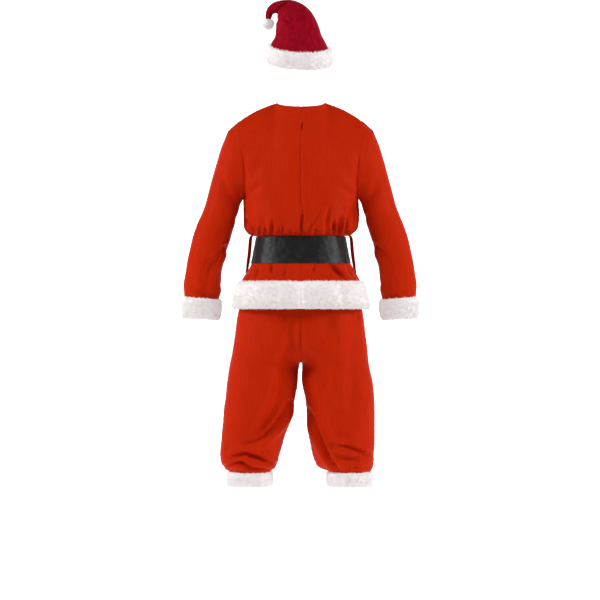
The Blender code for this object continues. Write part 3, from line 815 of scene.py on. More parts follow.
@dataclass
class Jacket:
    """The belted jacket: two back and two front panels, set-in sleeves and strips of fur.

    Each panel is a quarter of a rounded oval ring at every height below the armpit, with gathers
    and folds as bell-shaped troughs, and a blend of its four edges above the armpit.
    """

    finishes: Finishes
    columns: int = 72
    upper_rows: int = 45
    steps: int = 6
    surfaces: dict[str, Surface] = field(default_factory=dict)

    rings = table(
        "height wide back front",
        (-668, 217, 166, 160), (-655, 214, 162, 156), (-631, 209, 157, 151), (-606, 204, 151, 145),
        (-581, 198, 144, 138), (-556, 184, 133, 128), (-532, 169, 121, 117), (-520, 163, 116, 112),
        (-476, 154, 109, 106), (-432, 146, 103, 101), (-427, 159, 112, 109), (-417, 177, 124, 118),
        (-400, 187, 129, 123), (-372, 189, 129, 125), (-340, 190, 128, 125), (-308, 190, 126, 124),
    )
    armhole = table(
        "share out depth height",
        (0.0, 190, 0, -308), (0.12, 187, 42, -296), (0.3, 182, 72, -248), (0.5, 187, 77, -185),
        (0.7, 198, 66, -120), (0.88, 201, 32, -66), (1.0, 200, 5, -47),
    )
    gathers = tables(
        "share depth top",
        back_left=((0.17, 6, -340), (0.42, 8, -350), (0.58, 7, -365), (0.83, 9, -330)),
        back_right=((0.17, 7, -350), (0.33, 8, -370), (0.5, 11, -360), (0.75, 12, -310), (0.92, 9, -330)),
        front_left=((0.25, 7, -350), (0.5, 9, -345), (0.75, 8, -330)),
        front_right=((0.25, 8, -355), (0.42, 7, -350), (0.67, 10, -340), (0.92, 8, -340)),
    )
    skirt_folds = tables(
        "share depth",
        back_left=((0.25, 4), (0.67, 5)),
        back_right=((0.42, 7), (0.83, 5)),
        front_left=((0.33, 5), (0.75, 5)),
        front_right=((0.33, 5), (0.67, 6)),
    )
    sleeve_sections = table(
        "inner_out inner_height outer_out outer_height middle depth",
        (192.5, -311, 240, -82, 0, 73), (195.5, -316, 263, -138, 0, 70), (199, -324, 281, -200, 2, 66),
        (205, -343, 299, -264, 3, 62), (213, -372, 320, -338, 4, 60), (228, -422, 342, -390, 5, 59),
        (240, -466, 357, -434, 4, 59), (249, -500, 368, -478, 0, 59), (258, -530, 376, -515, -4, 58),
        (263, -565, 382, -553, -9, 57), (264, -602, 388, -592, -15, 57),
        (271, -639, 386, -630, -21, 55), (273, -660, 386, -652, -24, 54),
        (275, -682, 386, -675, -27, 53), (278, -704, 385, -698, -30, 52),
    )
    shoulder_tip = np.array([200.0, 5.0, -47.0])
    neck_side = np.array([80.0, -3.0, 12.0])
    neck = {Face.BACK: (62.0, -6.0), Face.FRONT: (-84.0, -66.0)}
    armpit_height = -308.0
    neck_share = 0.34
    belt_top, belt_bottom = -432.0, -520.0
    gathers_full = -415.0
    fur_top = -590.0
    fur_rows, cuff_rows = 4, 3
    belt_rows, armpit_row = (7, 9), 15
    right_reach = 0.975
    trough_width = 0.055
    overlap_raise = 2.8
    relaxing = 60
    fur_seed = 40

    creases = (
        *creases_of(
            Face.BACK, 0.3,
            (4, 5, 135, -432, 131, -398), (2.5, 4.5, 117, -432, 115, -404),
            (6, 5, 95, -432, 94, -412, 91, -382), (3, 4.5, 72, -430, 70, -402),
            (3.5, 4.5, 60, -430, 58, -398), (2.5, 4.5, 32, -430, 31, -404),
            (5, 5.5, -2, -432, -3, -395, -7, -340), (3, 7, -14, -426, -34, -392, -66, -356),
            (3, 4.5, -45, -430, -46, -402), (3.5, 7, -80, -426, -84, -380, -92, -334),
            (7.5, 5.5, -107, -432, -106, -386), (7.5, 6, -123, -430, -127, -374),
            (11, 8, -144, -436, -156, -390, -172, -330), (7, 7, -168, -424, -176, -370, -184, -312),
            (6, 7, 146, -428, 160, -404, 176, -378), (8.5, 6.5, -91, -523, -116, -544, -144, -570),
            (5, 7, 136, -524, 148, -566), (4.5, 6, 93, -524, 96, -552), (4, 8, 46, -524, 57, -576),
            (3.5, 7, -43, -524, -40, -556), (4, 7, -150, -524, -166, -560),
            (2, 20, 170, -262, 140, -200, 118, -150), (2, 20, -170, -262, -142, -206, -120, -160),
            (3, 11, 176, -296, 130, -266), (3, 11, -176, -298, -126, -272),
        ),
        *creases_of(
            Face.BACK, 0.0,
            (5, 4.5, -5, -52, -4, -86), (-1.6, 6, -9, -60, -8, -220, -7, -400),
        ),
        *creases_of(
            Face.FRONT, 0.3,
            (5, 5, 140, -432, 134, -386), (6, 5.5, 98, -432, 94, -372), (4, 5, 52, -432, 50, -384),
            (5, 5, -40, -432, -44, -372), (5, 5, -88, -432, -90, -380), (6, 5.5, -116, -432, -122, -388),
            (9, 8, -140, -432, -164, -340), (2.5, 20, 168, -258, 104, -170),
            (2.5, 20, -168, -258, -104, -176), (7, 7, 96, -524, 124, -568), (6, 7, -70, -524, -92, -566),
        ),
    )
    sleeve_creases = (
        *creases_of(
            Face.BACK, 0.3,
            (3.4, 7, 236, -463, 260, -472, 292, -478), (5, 8, 240, -470, 270, -494, 304, -540),
            (3.5, 12, 300, -500, 310, -560, 322, -640), (2, 9, 212, -374, 246, -380),
            (3, 14, 206, -330, 240, -290, 262, -230), (3, 9, 350, -600, 320, -626, 280, -640),
            (3.6, 7, -232, -454, -248, -462, -268, -474), (4, 8, -240, -464, -262, -484, -286, -506),
            (3.5, 12, -280, -510, -294, -570, -300, -640), (2, 9, -208, -368, -240, -374),
            (3, 14, -204, -330, -238, -286, -256, -226), (3, 9, -340, -610, -310, -632, -274, -642),
        ),
        *creases_of(
            Face.FRONT, 0.3,
            (3.6, 8, 228, -446, 262, -458, 300, -456), (3.2, 9, 240, -476, 290, -486),
            (5, 10, 210, -364, 270, -346), (3.5, 9, 264, -590, 346, -616),
            (3.6, 8, -224, -440, -258, -452, -292, -452), (3.2, 9, -236, -470, -284, -480),
            (5, 10, -208, -360, -264, -342), (3.5, 9, -262, -584, -338, -610),
        ),
    )

    def lower(self, side: Side, face: Face, name: str) -> Array:
        """The panel below the armpit, from the hem up.

        Args:
            side: The wearer's side.
            face: Back or front.
            name: The panel's key in the tables.

        Returns:
            Its rows of points.
        """
        shares = np.linspace(0, 1, self.columns + 1)
        rings = finer(self.rings, self.steps)
        heights = rings["height"]
        deep = rings[face.word]
        turn = shares * math.pi / 2
        across, along = np.sin(turn) ** OVAL, np.cos(turn) ** OVAL
        gathers, folds = self.gathers[name], self.skirt_folds[name]
        rise = (heights[:, None] - gathers["top"]) / (self.gathers_full - gathers["top"])
        strength = np.clip(rise, 0, 1) * np.clip((heights[:, None] - self.belt_top) / 12, 0, 1)
        below = np.clip((self.belt_bottom - heights) / 50, 0, 1)[:, None]
        inward = strength @ self.troughs(shares, gathers) + below * self.troughs(shares, folds).sum(0)
        inward *= np.sin(math.pi * shares) ** 0.25
        x = side.value * (rings["wide"][:, None] - inward) * across
        y = face.value * (deep[:, None] - inward) * along
        return level(x, y, heights)

    @staticmethod
    def troughs(shares: Array, folds: dict[str, Array]) -> Array:
        """The depth of each narrow trough at the shares of a panel's width."""
        apart = shares[None, :] - folds["share"][:, None]
        return bell(apart, Jacket.trough_width) * folds["depth"][:, None]

    def top_edge(self, side: Side, face: Face) -> Array:
        """A quarter of the neckline, then the shoulder seam."""
        shares = np.linspace(0, 1, self.columns + 1)
        turn = np.clip(shares / self.neck_share, 0, 1) * math.pi / 2
        run = np.clip((shares - self.neck_share) / (1 - self.neck_share), 0, 1)
        deep, high = self.neck[face]
        x = self.neck_side[0] * np.sin(turn)
        y = self.neck_side[1] + (deep - self.neck_side[1]) * np.cos(turn)
        z = self.neck_side[2] + (high - self.neck_side[2]) * np.cos(turn)
        edge = np.stack([x, y, z], 1) + (self.shoulder_tip - self.neck_side) * run[:, None]
        edge[:, 2] += 6 * np.sin(math.pi * run)
        return edge * (side.value, 1, 1)

    def armhole_edge(self, side: Side, face: Face) -> Array:
        """The armhole's edge from the armpit to the shoulder tip."""
        shares = np.linspace(0, 1, self.upper_rows + 1)
        read = {key: smooth(shares, self.armhole["share"], values) for key, values in self.armhole.items()}
        towards = shares**3 * self.shoulder_tip[1]
        y = face.value * (read["depth"] - towards) + towards * (face is Face.FRONT)
        y[-1] = self.shoulder_tip[1]
        return np.stack([side.value * read["out"], y, read["height"]], 1)

    def middle_edge(self, face: Face) -> Array:
        """The centre line from the armpit's height up to the neck."""
        shares = np.linspace(0, 1, self.upper_rows + 1)
        deep, high = self.neck[face]
        low = self.rings[face.word][-1]
        height = self.armpit_height + (high - self.armpit_height) * shares
        depth = low + (abs(deep) - low) * shares**2.4
        return np.stack([0 * height, face.value * depth, height], 1)

    def panel(self, side: Side, face: Face) -> Array:
        """The whole panel: its lower rows, then the blend of its four upper edges, relaxed."""
        lower = self.lower(side, face, f"{face.word}_{side.word}")
        low, top = lower[-1], self.top_edge(side, face)
        middle, outer = self.middle_edge(face), self.armhole_edge(side, face)
        up = np.linspace(0, 1, self.upper_rows + 1)[:, None, None]
        across = np.linspace(0, 1, self.columns + 1)[None, :, None]
        upright = (1 - up) * low + up * top
        sidewise = (1 - across) * middle[:, None] + across * outer[:, None]
        corners = (1 - up) * ((1 - across) * low[0] + across * low[-1])
        corners = corners + up * ((1 - across) * top[0] + across * top[-1])
        return np.concatenate([lower, relax(upright + sidewise - corners, self.relaxing)[1:]])

    def sleeve(self, side: Side) -> Array:
        """The sleeve from the armhole down: the armhole's points, then ovals between two points."""
        back, front = (self.surfaces[f"{key}_{side.word}"].points for key in ("back", "front"))
        rows = self.upper_rows
        hole = np.concatenate([back[-rows - 1 :, -1], front[-rows - 1 :, -1][-2:0:-1]])
        turn = turns(2 * rows)
        read = finer(self.sleeve_sections, self.steps)
        like = np.maximum(0, 1 - np.arange(len(read["depth"])) / self.steps / 5)[:, None]
        half = (self.shoulder_tip[2] - self.armpit_height) / 2
        cosine = like * (self.shoulder_tip[2] - half - hole[:, 2]) / half + (1 - like) * np.cos(turn)
        sine = like * hole[:, 1] / self.armhole["depth"].max() + (1 - like) * np.sin(turn)
        start, reach = self.shoulder_tip[0] - 10, 1.0 if side is Side.LEFT else self.right_reach
        ends = []
        for end in ("inner", "outer"):
            out = start + (read[f"{end}_out"] - start) * reach
            ends.append(np.stack([out, read["middle"], read[f"{end}_height"]], 1)[:, None])
        inner, outer = ends
        rings = (inner + outer) / 2 + cosine[..., None] * (inner - outer) / 2
        rings = rings + sine[..., None] * read["depth"][:, None, None] * (0, 1, 0)
        rings = rings * (side.value, 1, 1)
        share = np.linspace(0, 1, self.steps + 1)[:-1, None, None]
        return np.concatenate([hole * (1 - share) + rings[0] * share, rings])

    def shape(self) -> None:
        """Works out every surface, with one normal at each seam but near the armpit."""
        found: dict[str, tuple[Array, Array]] = {}
        for face in Face:
            for side in Side:
                points = self.panel(side, face)
                name = f"{face.word}_{side.word}"
                found[name] = (points, grid_normals(points, False, -side.value * face.value))
                self.surfaces[name] = Surface(points, found[name][1])
        for side in Side:
            points = self.sleeve(side)
            found[f"sleeve_{side.word}"] = (points, grid_normals(points, True, side.value))
        shared = share_normals(list(found.values()))
        panels = share_normals(list(found.values())[:4])
        climb = np.clip(np.arange(self.upper_rows + 1) / 15, 0, 1)[:, None]
        round_hole = np.concatenate([climb, climb[-2:0:-1]])
        for number, (name, (points, own)) in enumerate(found.items()):
            away = shared[number]
            if number < 4:
                own, hole = panels[number], -self.upper_rows - 1
                away[hole:, -1] = away[hole:, -1] * climb + own[hole:, -1] * (1 - climb)
                away[:hole, -1] = own[:hole, -1]
            else:
                away[0] = away[0] * round_hole + own[0] * (1 - round_hole)
            self.surfaces[name] = Surface(points, unit(away), number >= 4)

    def soften(self) -> None:
        """Presses in creases and seams, with a slight unevenness, but not under the belt and fur."""
        for surface in self.surfaces.values():
            points = surface.points
            height = points[..., 2]
            even = 0.9 * ripple(points, 95, 21) + 0.35 * ripple(points, 34, 22)
            if surface.closed:
                seam, hem = edge_run(points, 0, False), edge_run(points, 0, True)
                inward = pressed(points, self.sleeve_creases) + seam_groove(seam, height, 2.0, 0.5)
                bare_inward, bare_even = 1 - bell(hem, 40), 1 - bell(seam, 30)
            else:
                inward = pressed(points, self.creases) + 1.2 * bell(edge_run(points, 0, True), 3)
                inward += seam_groove(edge_run(points, 1, False), height, 2.6, 0.8)
                inward += seam_groove(edge_run(points, 1, True), height, 1.6, 0.4)
                under_belt = np.clip((height - self.belt_bottom + 6) / 8, 0, 1)
                under_belt *= np.clip((self.belt_top + 6 - height) / 6, 0, 1)
                under_fur = np.clip((self.fur_top - height) / 16, 0, 1)
                bare_inward = bare_even = (1 - under_belt) * (1 - under_fur)
            surface.points = surface.lifted(even * bare_even * 0.6 - inward * bare_inward)

    def overlapped(self, left: Surface) -> Surface:
        """The left front with a strip past the middle, raised where it lies over the right one."""
        extra, mirror = self.steps, (-1, 1, 1)
        grids = (left.points, left.away)
        wide = Surface(*(np.concatenate([grid[:, extra:0:-1] * mirror, grid], 1) for grid in grids))
        raised = np.clip((4 * extra - np.arange(wide.points.shape[1])) / extra, 0, 1) * self.overlap_raise
        return Surface(wide.lifted(np.broadcast_to(raised, wide.points.shape[:2])), wide.away)

    def build(self) -> dict[str, Surface]:
        """Makes and dresses the jacket.

        Returns:
            Its smooth surfaces, before their folds, which the belt lies on.
        """
        self.shape()
        plain = {name: Surface(item.points, item.away, item.closed) for name, item in self.surfaces.items()}
        self.soften()
        for seed, (name, surface) in enumerate(self.surfaces.items(), self.fur_seed):
            strip = plain[name]
            if surface.closed:
                strip = strip.part(slice(-self.cuff_rows * self.steps - 1, None))
                fur = Fur(name.replace("sleeve", "cuff_fur"), strip, depth=13.0, count=14000, seed=seed)
                shown, node = surface.part(slice(0, -self.steps)), name
            else:
                if name == "front_left":
                    strip, surface = self.overlapped(strip), self.overlapped(surface)
                start = self.steps if name == "front_right" else 0
                strip = strip.part(slice(0, self.fur_rows * self.steps + 1), slice(start, None))
                fur = Fur(f"hem_fur_{name}", strip, depth=15.0, count=15000, seed=seed)
                shown, node = surface.part(slice(self.steps, None)), f"jacket_{name}"
            trim = fur.build(self.finishes.fur)
            cloth_on(node, shown.shell(), shown, self.finishes.cloth, JACKET_EASE)
        return plain


@dataclass
class Belt:
    """The black strap, its buckle and its loops.

    The strap follows the jacket's rings under it, moved out, with rounded edges and soft waves.
    """

    finishes: Finishes
    jacket: Jacket
    wall: float = 2.5
    overlap_raise: float = 2.9
    rows: int = 31
    loop_width: float = 12.0
    loop_twist: float = math.radians(68)

    loop_line = table(
        "height seam_height off out",
        (-424, -424, 0.65, 0), (-428, -428, 3.0, 0), (-432, -432, 0, 164), (-446, -446, 0, 166.5),
        (-464, -464, 0, 168), (-482, -482, 0, 169.5), (-504, -504, 0, 172), (-524, -524, 0, 175),
        (-538, -541, 2.15, 0), (-552, -552, 0.65, 0),
    )

    def strap(self, base: dict[str, Surface]) -> Surface:
        """The jacket's surface under the belt, all round from the front middle."""
        steps = self.jacket.steps
        first, last = self.jacket.belt_rows
        rows = slice(first * steps, last * steps + 1)
        order = (("front_left", 1), ("back_left", -1), ("back_right", 1), ("front_right", -1))
        points, away = [], []
        for number, (name, step) in enumerate(order):
            points.append(base[name].points[rows][:, ::step][:, min(number, 1) :])
            away.append(base[name].away[rows][:, ::step][:, min(number, 1) :])
        joined = Surface(np.concatenate(points, 1), np.concatenate(away, 1))
        count = joined.points.shape[1]
        from_end = np.minimum(np.arange(count), count - 1 - np.arange(count))
        raised = np.clip((5 * steps - from_end) / steps, 0, 1) * self.overlap_raise + LAY_GAP
        grid = joined.lifted(np.broadcast_to(raised, joined.points.shape[:2]))
        rows_in = np.arange(len(grid), dtype=float)
        at = (1 - np.cos(np.linspace(0, math.pi, self.rows))) / 2 * rows_in[-1]
        parts = (smooth(at, rows_in, part.reshape(len(grid), -1)) for part in (grid, joined.away))
        points, away = (part.reshape(len(at), count, 3) for part in parts)
        return Surface(points, unit(away))

    def build(self, base: dict[str, Surface]) -> None:
        """Makes the strap and the loops, and gives the buckle its finish.

        Args:
            base: The jacket's surfaces without their folds.
        """
        surface = self.strap(base)
        height = np.cos(np.linspace(-1, 1, len(surface.points)) * math.pi / 2)
        edge = np.clip(height / 0.12, 0, 1) ** 0.5
        thick = self.wall * (0.45 + 0.55 * edge)[:, None]
        waves = 0.5 * ripple(surface.points * (1, 1, 0.3), 60, 71) + 0.3 * ripple(surface.points, 23, 72)
        groove = 0.5 * (bell(height - 0.16, 0.035))[:, None]
        outer = surface.lifted(thick + (waves - 0.2) * edge[:, None] * 0.8 - groove)
        piece = wall(outer, surface.points).make("belt_strap")
        dress(piece, self.finishes.leather, "belt_leather", "belt")
        turned = Surface(np.swapaxes(surface.points, 0, 1), np.swapaxes(surface.away, 0, 1))
        declare_sheet(piece, turned, 1.0)
        for side in Side:
            self.loop(side, base)
        for node in ("buckle_frame", "buckle_prong"):
            dress(bpy.data.objects[node], self.finishes.metal, "buckle_metal")

    def loop(self, side: Side, base: dict[str, Surface]) -> None:
        """A strip of cloth that stands off the belt, sewn down above and below it.

        Its line lies a little off the side seam where it is sewn, and hangs free between.
        """
        line, below = self.loop_line, self.jacket.armpit_row * self.jacket.steps + 1
        seam = base[f"back_{side.word}"].points[:below, -1]
        reach = np.interp(line["seam_height"], seam[:, 2], np.abs(seam[:, 0]))
        out = np.where(line["off"] > 0, reach + line["off"], line["out"])
        places = np.linspace(0, 1, len(out))
        path = smooth(np.linspace(0, 1, 73), places, np.stack([out, line["height"]], 1))
        y = np.linspace(-self.loop_width / 2, self.loop_width / 2, 13)
        twist = self.loop_twist * np.sin(np.linspace(0, math.pi, len(path)))[:, None] ** 0.7
        x = side.value * (path[:, :1] + y * np.sin(twist))
        points = np.stack(np.broadcast_arrays(x, y * np.cos(twist), path[:, 1:]), 2)
        away = grid_normals(points, False, 1.0)
        away *= np.sign(away[0, 6, 0] * side.value)
        rounded = 0.35 * np.clip(1 - ((np.abs(y) - 4.6) / 1.4).clip(0) ** 2, 0, 1)
        stitch = 0.25 * bell(np.abs(y) - 4.2, 0.45)
        surface = Surface(points, away)
        outer = surface.lifted(np.broadcast_to(1.5 + rounded - stitch, points.shape[:2]))
        shape = wall(outer, surface.lifted(0.1))
        cloth_on(f"belt_loop_{side.word}", shape, surface, self.finishes.cloth)


@dataclass
class Breeches:
    """The knee breeches: a back and a front panel for each leg, a waist casing and fur cuffs.

    Each panel is half an oval at every height, which moves out from the middle to the leg.
    """

    finishes: Finishes
    columns: int = 54
    steps: int = 6

    sections = table(
        "height left_out left_in right_out right_in back front",
        (-541, 155, 0, 155, 0, 109, 106), (-560, 164, 0, 164, 0, 116, 108),
        (-590, 178, 0, 178, 0, 126, 114), (-640, 197, 0, 196, 0, 136, 120),
        (-700, 211, 0, 208, 0, 140, 122), (-755, 218, 0, 213, 0, 138, 122),
        (-800, 225, 0, 218, 0, 131, 120), (-828, 230, 0, 220, 0, 125, 118),
        (-846, 234, 3, 222, -3, 121, 116), (-878, 239, 8, 228, -3, 117, 113),
        (-917, 244, 13, 237, -7, 113, 111), (-957, 248, 20, 241, -13, 110, 109),
        (-1000, 254, 27, 244, -17, 107, 107), (-1040, 257, 37, 244, -21, 104, 104),
        (-1076, 261, 50, 244, -24, 101, 101), (-1115, 264, 60, 244, -31, 97, 98),
        (-1150, 267, 71, 242, -38, 93, 95), (-1178, 263, 80, 240, -48, 88, 90),
        (-1196, 248, 88, 234, -68, 76, 78), (-1207, 236, 100, 229, -93, 68, 70),
        (-1230, 236, 100, 229, -93, 67, 69), (-1252, 236, 101, 228, -94, 66, 68),
    )
    casing = table(
        "height wide back front",
        (-540.6, 155, 109, 106), (-522, 156.6, 110.2, 106.8), (-504, 157.1, 110.9, 107.3),
    )
    folds = table(
        "side from_out from_height to_out to_height depth width",
        (1, 24, -968, 150, -1110, 9, 26), (1, 215, -1168, 120, -1148, 7, 16),
        (1, 60, -1020, 120, -1040, 4, 22), (-1, 34, -990, 130, -1200, 9, 26),
        (-1, 155, -1122, 238, -1144, 7, 20), (-1, 90, -1150, 200, -1172, 6, 16),
    )
    crotch, hip = -846.0, -560.0
    fur_top, gathers_middle = -1207.0, -1190.0
    cuff_rows, fur_seed = 2, 60
    crotch_height, crotch_width, relaxing = 34, 105, 160

    creases = (
        *creases_of(
            Face.BACK, 0.5,
            (8, 8, 34, -972, 48, -1008, 76, -1048, 118, -1090, 180, -1114),
            (8, 7, 236, -1156, 181, -1139, 128, -1159, 84, -1180),
            (8, 7.5, -22, -1000, -45, -1062, -65, -1106, -88, -1156, -128, -1206),
            (6, 7, -86, -1108, -147, -1117, -201, -1137, -240, -1147),
        ),
        *creases_of(
            Face.BACK, 0.25,
            (11, 24, 28, -660, 34, -790, 50, -904, 84, -985, 136, -1062, 194, -1112),
        ),
        *creases_of(
            Face.BACK, 0.4,
            (6.5, 6.5, 250, -1186, 201, -1168, 160, -1191, 92, -1198),
            (5, 10, -126, -1146, -160, -1160, -196, -1158),
        ),
        *creases_of(
            Face.BACK, 0.3,
            (3, 8, 128, -1120, 92, -1150), (3, 8, 222, -1108, 250, -1130),
            (3, 10, -128, -1070, -160, -1100), (4, 7, -150, -1184, -206, -1192),
            (4, 5, -190, -676, -187, -706), (4, 10, -4, -790, -26, -838, -56, -880),
            (5, 26, -176, -640, -168, -800, -166, -960, -150, -1060),
        ),
        *creases_of(
            Face.BACK, 0.2,
            (4, 20, -84, -870, -76, -945), (3, 22, -84, -620, -92, -720, -86, -800),
        ),
        *creases_of(
            Face.FRONT, 0.5,
            (6, 10, 48, -1012, 86, -1062, 170, -1120), (7, 9, -24, -990, -70, -1080, -130, -1180),
        ),
        *creases_of(
            Face.FRONT, 0.4,
            (7, 8, 96, -1172, 150, -1150, 220, -1172), (6, 8, -96, -1130, -160, -1128, -224, -1150),
        ),
        *creases_of(
            Face.FRONT, 0.3,
            (4, 12, -4, -800, -60, -890), (4, 12, 4, -800, 60, -890),
        ),
    )

    def panel(self, side: Side, face: Face) -> Array:
        """A panel from the hem up.

        Args:
            side: The wearer's side.
            face: Back or front.

        Returns:
            Its rows of points.
        """
        read = {key: values[::-1] for key, values in finer(self.sections, self.steps).items()}
        out, heights = read[f"{side.word}_out"], read["height"]
        inner = read[f"{side.word}_in"] * side.value
        drop = np.clip((heights - self.hip) / (self.crotch - self.hip), 0, 1)
        own = heights <= self.crotch
        centre = np.where(own, (out + inner) / 2, out / 2 * drop**2.5)
        half = out - centre
        start = np.where(own, 0.0, np.arccos(np.clip(centre / half, -1, 1)))[:, None]
        turn = start + (math.pi - start) * np.linspace(0, 1, self.columns + 1)
        x = side.value * (centre[:, None] - half[:, None] * np.cos(turn))
        x[:, 0] = np.where(own, x[:, 0], 0.0)
        y = face.value * read[face.word][:, None] * np.sin(turn)
        y[:, -1] = 0.0
        y[own, 0] = 0.0
        x[np.flatnonzero(own)[-1], 0] = 0.0
        return level(x, y, heights)

    def fold_depth(self, points: Array, side: Side) -> Array:
        """How far the large folds press each point in, on the back and the front alike."""
        total, seen = np.zeros(points.shape[:2]), points[..., (0, 2)] * (side.value, 1)
        for fold_side, from_x, from_z, to_x, to_z, depth, width in zip(*self.folds.values()):
            if fold_side == side.value:
                along, apart = along_line(seen, (from_x, from_z), (to_x, to_z))
                total += depth * bell(apart, width) * np.sin(math.pi * (0.15 + 0.7 * along))
        return total

    def build(self) -> None:
        """Makes and dresses the legs, their fur and the waist casing."""
        names = [(side, face) for face in Face for side in Side]
        grids = [self.panel(side, face) for side, face in names]
        outward = [-side.value * face.value for side, face in names]
        own = [grid_normals(grid, False, sign) for grid, sign in zip(grids, outward)]
        shared = share_normals(list(zip(grids, own)))
        found = {name: Surface(grid, away) for name, grid, away in zip(names, grids, shared)}
        fur = {side: self.cuff(side, found) for side in Side}
        for (side, face), surface in found.items():
            self.soften(surface, side)
            part = surface.part(slice(self.steps, None))
            node = f"trousers_{face.word}_{side.word}"
            cloth_on(node, part.shell(), part, self.finishes.cloth, BREECHES_EASE)
        self.waist()

    def soften(self, surface: Surface, side: Side) -> None:
        """Presses in folds, creases, seams and hem gathers, and evens out the crotch.

        Args:
            surface: The panel's surface, which it changes.
            side: The wearer's side.
        """
        points = surface.points
        x, height = points[..., 0], points[..., 2]
        first, last = edge_run(points, 1, False), edge_run(points, 1, True)
        crotch = bell(height - self.crotch, self.crotch_height)
        inward = self.fold_depth(points, side) + pressed(points, self.creases)
        inward *= (1 - bell(first, 9)) * (1 - bell(last, 9))
        inward += seam_groove(last, height, 1.5, 0.5) + (1 - crotch) * seam_groove(first, height, 2.8, 0.6)
        gathered = 1.6 * np.sin(x / 4.4 + 1.5 * np.sin(x / 23)) * bell(height - self.gathers_middle, 22)
        even = 0.9 * ripple(points, 120, 31) + 0.3 * ripple(points, 40, 32)
        shown = np.clip((height - self.fur_top) / 14, 0, 1) * np.clip((self.hip - height) / 30, 0, 1)
        surface.points = surface.lifted((even - inward - gathered) * shown)
        near = crotch * bell(x, self.crotch_width) * np.clip(first / 12, 0, 1)
        relaxed = relax(surface.points.copy(), self.relaxing)
        surface.points += (relaxed - surface.points) * near[..., None]

    def cuff(self, side: Side, found: dict[tuple[Side, Face], Surface]) -> bpy.types.Object:
        """The fur round a leg's hem, on its back and front panels alike."""
        rows = slice(0, self.cuff_rows * self.steps + 1)
        back, front = found[side, Face.BACK].part(rows), found[side, Face.FRONT].part(rows)
        points = np.concatenate([back.points, front.points[:, -2:0:-1]], 1)
        away = np.concatenate([back.away, front.away[:, -2:0:-1]], 1)
        strip, seed = Surface(points, away, True), self.fur_seed + side.value
        fur = Fur(f"leg_fur_{side.word}", strip, depth=11.0, count=13000, seed=seed, lock=7.5)
        return fur.build(self.finishes.fur)

    def waist(self) -> None:
        """The elastic casing on top, with its small even gathers drawn inward."""
        read, gathers = finer(self.casing, 5), 60
        turn = turns(4 * gathers)
        cosine, sine = (np.sign(part) * np.abs(part) ** OVAL for part in (np.cos(turn), np.sin(turn)))
        x = read["wide"][:, None] * cosine
        y = np.where(sine > 0, read["back"][:, None], read["front"][:, None]) * sine
        points = level(x, y, read["height"])
        surface = Surface(points, grid_normals(points, True, 1), True)
        gather = 0.8 * (1 - np.cos(turn * gathers)) * np.sin(np.linspace(0, math.pi, len(points)))[:, None]
        surface.points = surface.lifted(-gather)
        cloth_on("waistband", surface.shell(), surface, self.finishes.cloth)


